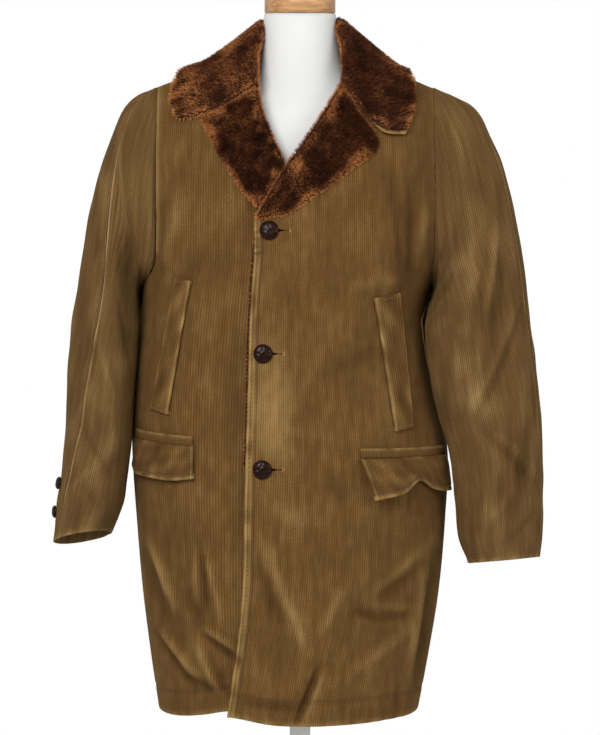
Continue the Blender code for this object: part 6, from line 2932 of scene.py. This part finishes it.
@dataclass
class Studio:
    """Camera, lights, backdrop light and floor."""

    distance: float = 4.5
    eye: float = 1.305
    focal_pixels: float = 3348.0
    frame_height: float = 735.0
    axis_pixel: float = 200.0
    sensor: float = 36.0
    floor_size: float = 3.0
    room_light: float = 0.5

    def camera(self) -> None:
        """Places the camera where the photograph was taken from."""
        data = bpy.data.cameras.new("camera")
        data.sensor_width = self.sensor
        data.lens = self.sensor * self.focal_pixels / self.frame_height
        item = bpy.data.objects.new("camera", data)
        tilt = math.atan((self.frame_height / 2 - self.axis_pixel) / self.focal_pixels)
        item.location = (CENTRE, -self.distance, self.eye)
        item.rotation_euler = Euler((math.pi / 2 - tilt, 0.0, 0.0))
        bpy.context.scene.collection.objects.link(item)
        bpy.context.scene.camera = item

    def light(self, name: str, place: tuple, aim: tuple, size: float, power: float) -> None:
        """Adds a soft lamp.

        Args:
            name: Its name.
            place: Where it hangs.
            aim: What it points at.
            size: Its width.
            power: Its power in watts.
        """
        data = bpy.data.lights.new(name, "AREA")
        data.shape = "DISK"
        data.size = size
        data.energy = power
        item = bpy.data.objects.new(name, data)
        item.location = place
        way = np.array(aim) - np.array(place)
        item.rotation_euler = Vector(way).to_track_quat("-Z", "Y").to_euler()
        bpy.context.scene.collection.objects.link(item)

    def backdrop(self) -> None:
        """Makes a white backdrop whose light on the coat is softer than its own brightness."""
        world = bpy.data.worlds.new("white_room")
        world.use_nodes = True
        nodes = world.node_tree.nodes
        links = world.node_tree.links
        soft = nodes["Background"]
        soft.inputs["Color"].default_value = (1.0, 1.0, 1.0, 1.0)
        soft.inputs["Strength"].default_value = self.room_light
        bright = nodes.new("ShaderNodeBackground")
        bright.inputs["Color"].default_value = (1.0, 1.0, 1.0, 1.0)
        bright.inputs["Strength"].default_value = 1.0
        rays = nodes.new("ShaderNodeLightPath")
        mix = nodes.new("ShaderNodeMixShader")
        links.new(rays.outputs["Is Camera Ray"], mix.inputs["Fac"])
        links.new(soft.outputs["Background"], mix.inputs[1])
        links.new(bright.outputs["Background"], mix.inputs[2])
        links.new(mix.outputs["Shader"], nodes["World Output"].inputs["Surface"])
        bpy.context.scene.world = world

    def build(self) -> None:
        """Sets up the camera, a white room and a pale floor."""
        self.camera()
        self.light("key", (-1.1, -3.0, 2.6), (0.0, 0.0, 1.0), 1.7, 104.0)
        self.light("fill", (2.4, -2.4, 2.0), (0.0, 0.0, 1.1), 2.0, 33.0)
        self.backdrop()
        bpy.context.scene.view_settings.view_transform = "Standard"
        half = self.floor_size / 2
        mesh = bpy.data.meshes.new("floor")
        corners = [(-half, -half, 0), (half, -half, 0), (half, half, 0), (-half, half, 0)]
        mesh.from_pydata(corners, [], [(0, 1, 2, 3)])
        s = Shades("pale_floor")
        cloud = s.noise(s.place(), 6.0, 3.0)
        s.colour(cloud, (0.3, (222, 221, 219)), (0.7, (228, 227, 225)))
        s.set(Roughness=0.8)
        mesh.materials.append(s.material)
        floor = bpy.data.objects.new("floor", mesh)
        bpy.context.scene.collection.objects.link(floor)


def main() -> None:
    """Builds the room, the form and the coat, in order."""
    logging.basicConfig(level=logging.INFO, format="%(message)s")
    Studio().build()
    form = BodyForm()
    sewing = Sewing("topstitching")
    hemming = Sewing("hem_stitches", gap=0.0022, radius=0.0003)
    DressForm().build()
    CoatBody(form, hemming).build()
    left = left_sleeve(form, sewing, hemming)
    right = right_sleeve(form, sewing, hemming)
    sleeves = {Arm.LEFT: left, Arm.RIGHT: right}
    for sleeve in sleeves.values():
        sleeve.build()
    Collar(form).build()
    Pockets(form, sewing).build()
    Buttons(form, sleeves).build()
    dress(sewing.build(TOPSTITCH.make()), Slot.CORDUROY)
    dress(hemming.build(HEM_THREAD.make()), Slot.CORDUROY)


if __name__ == "__main__":
    main()
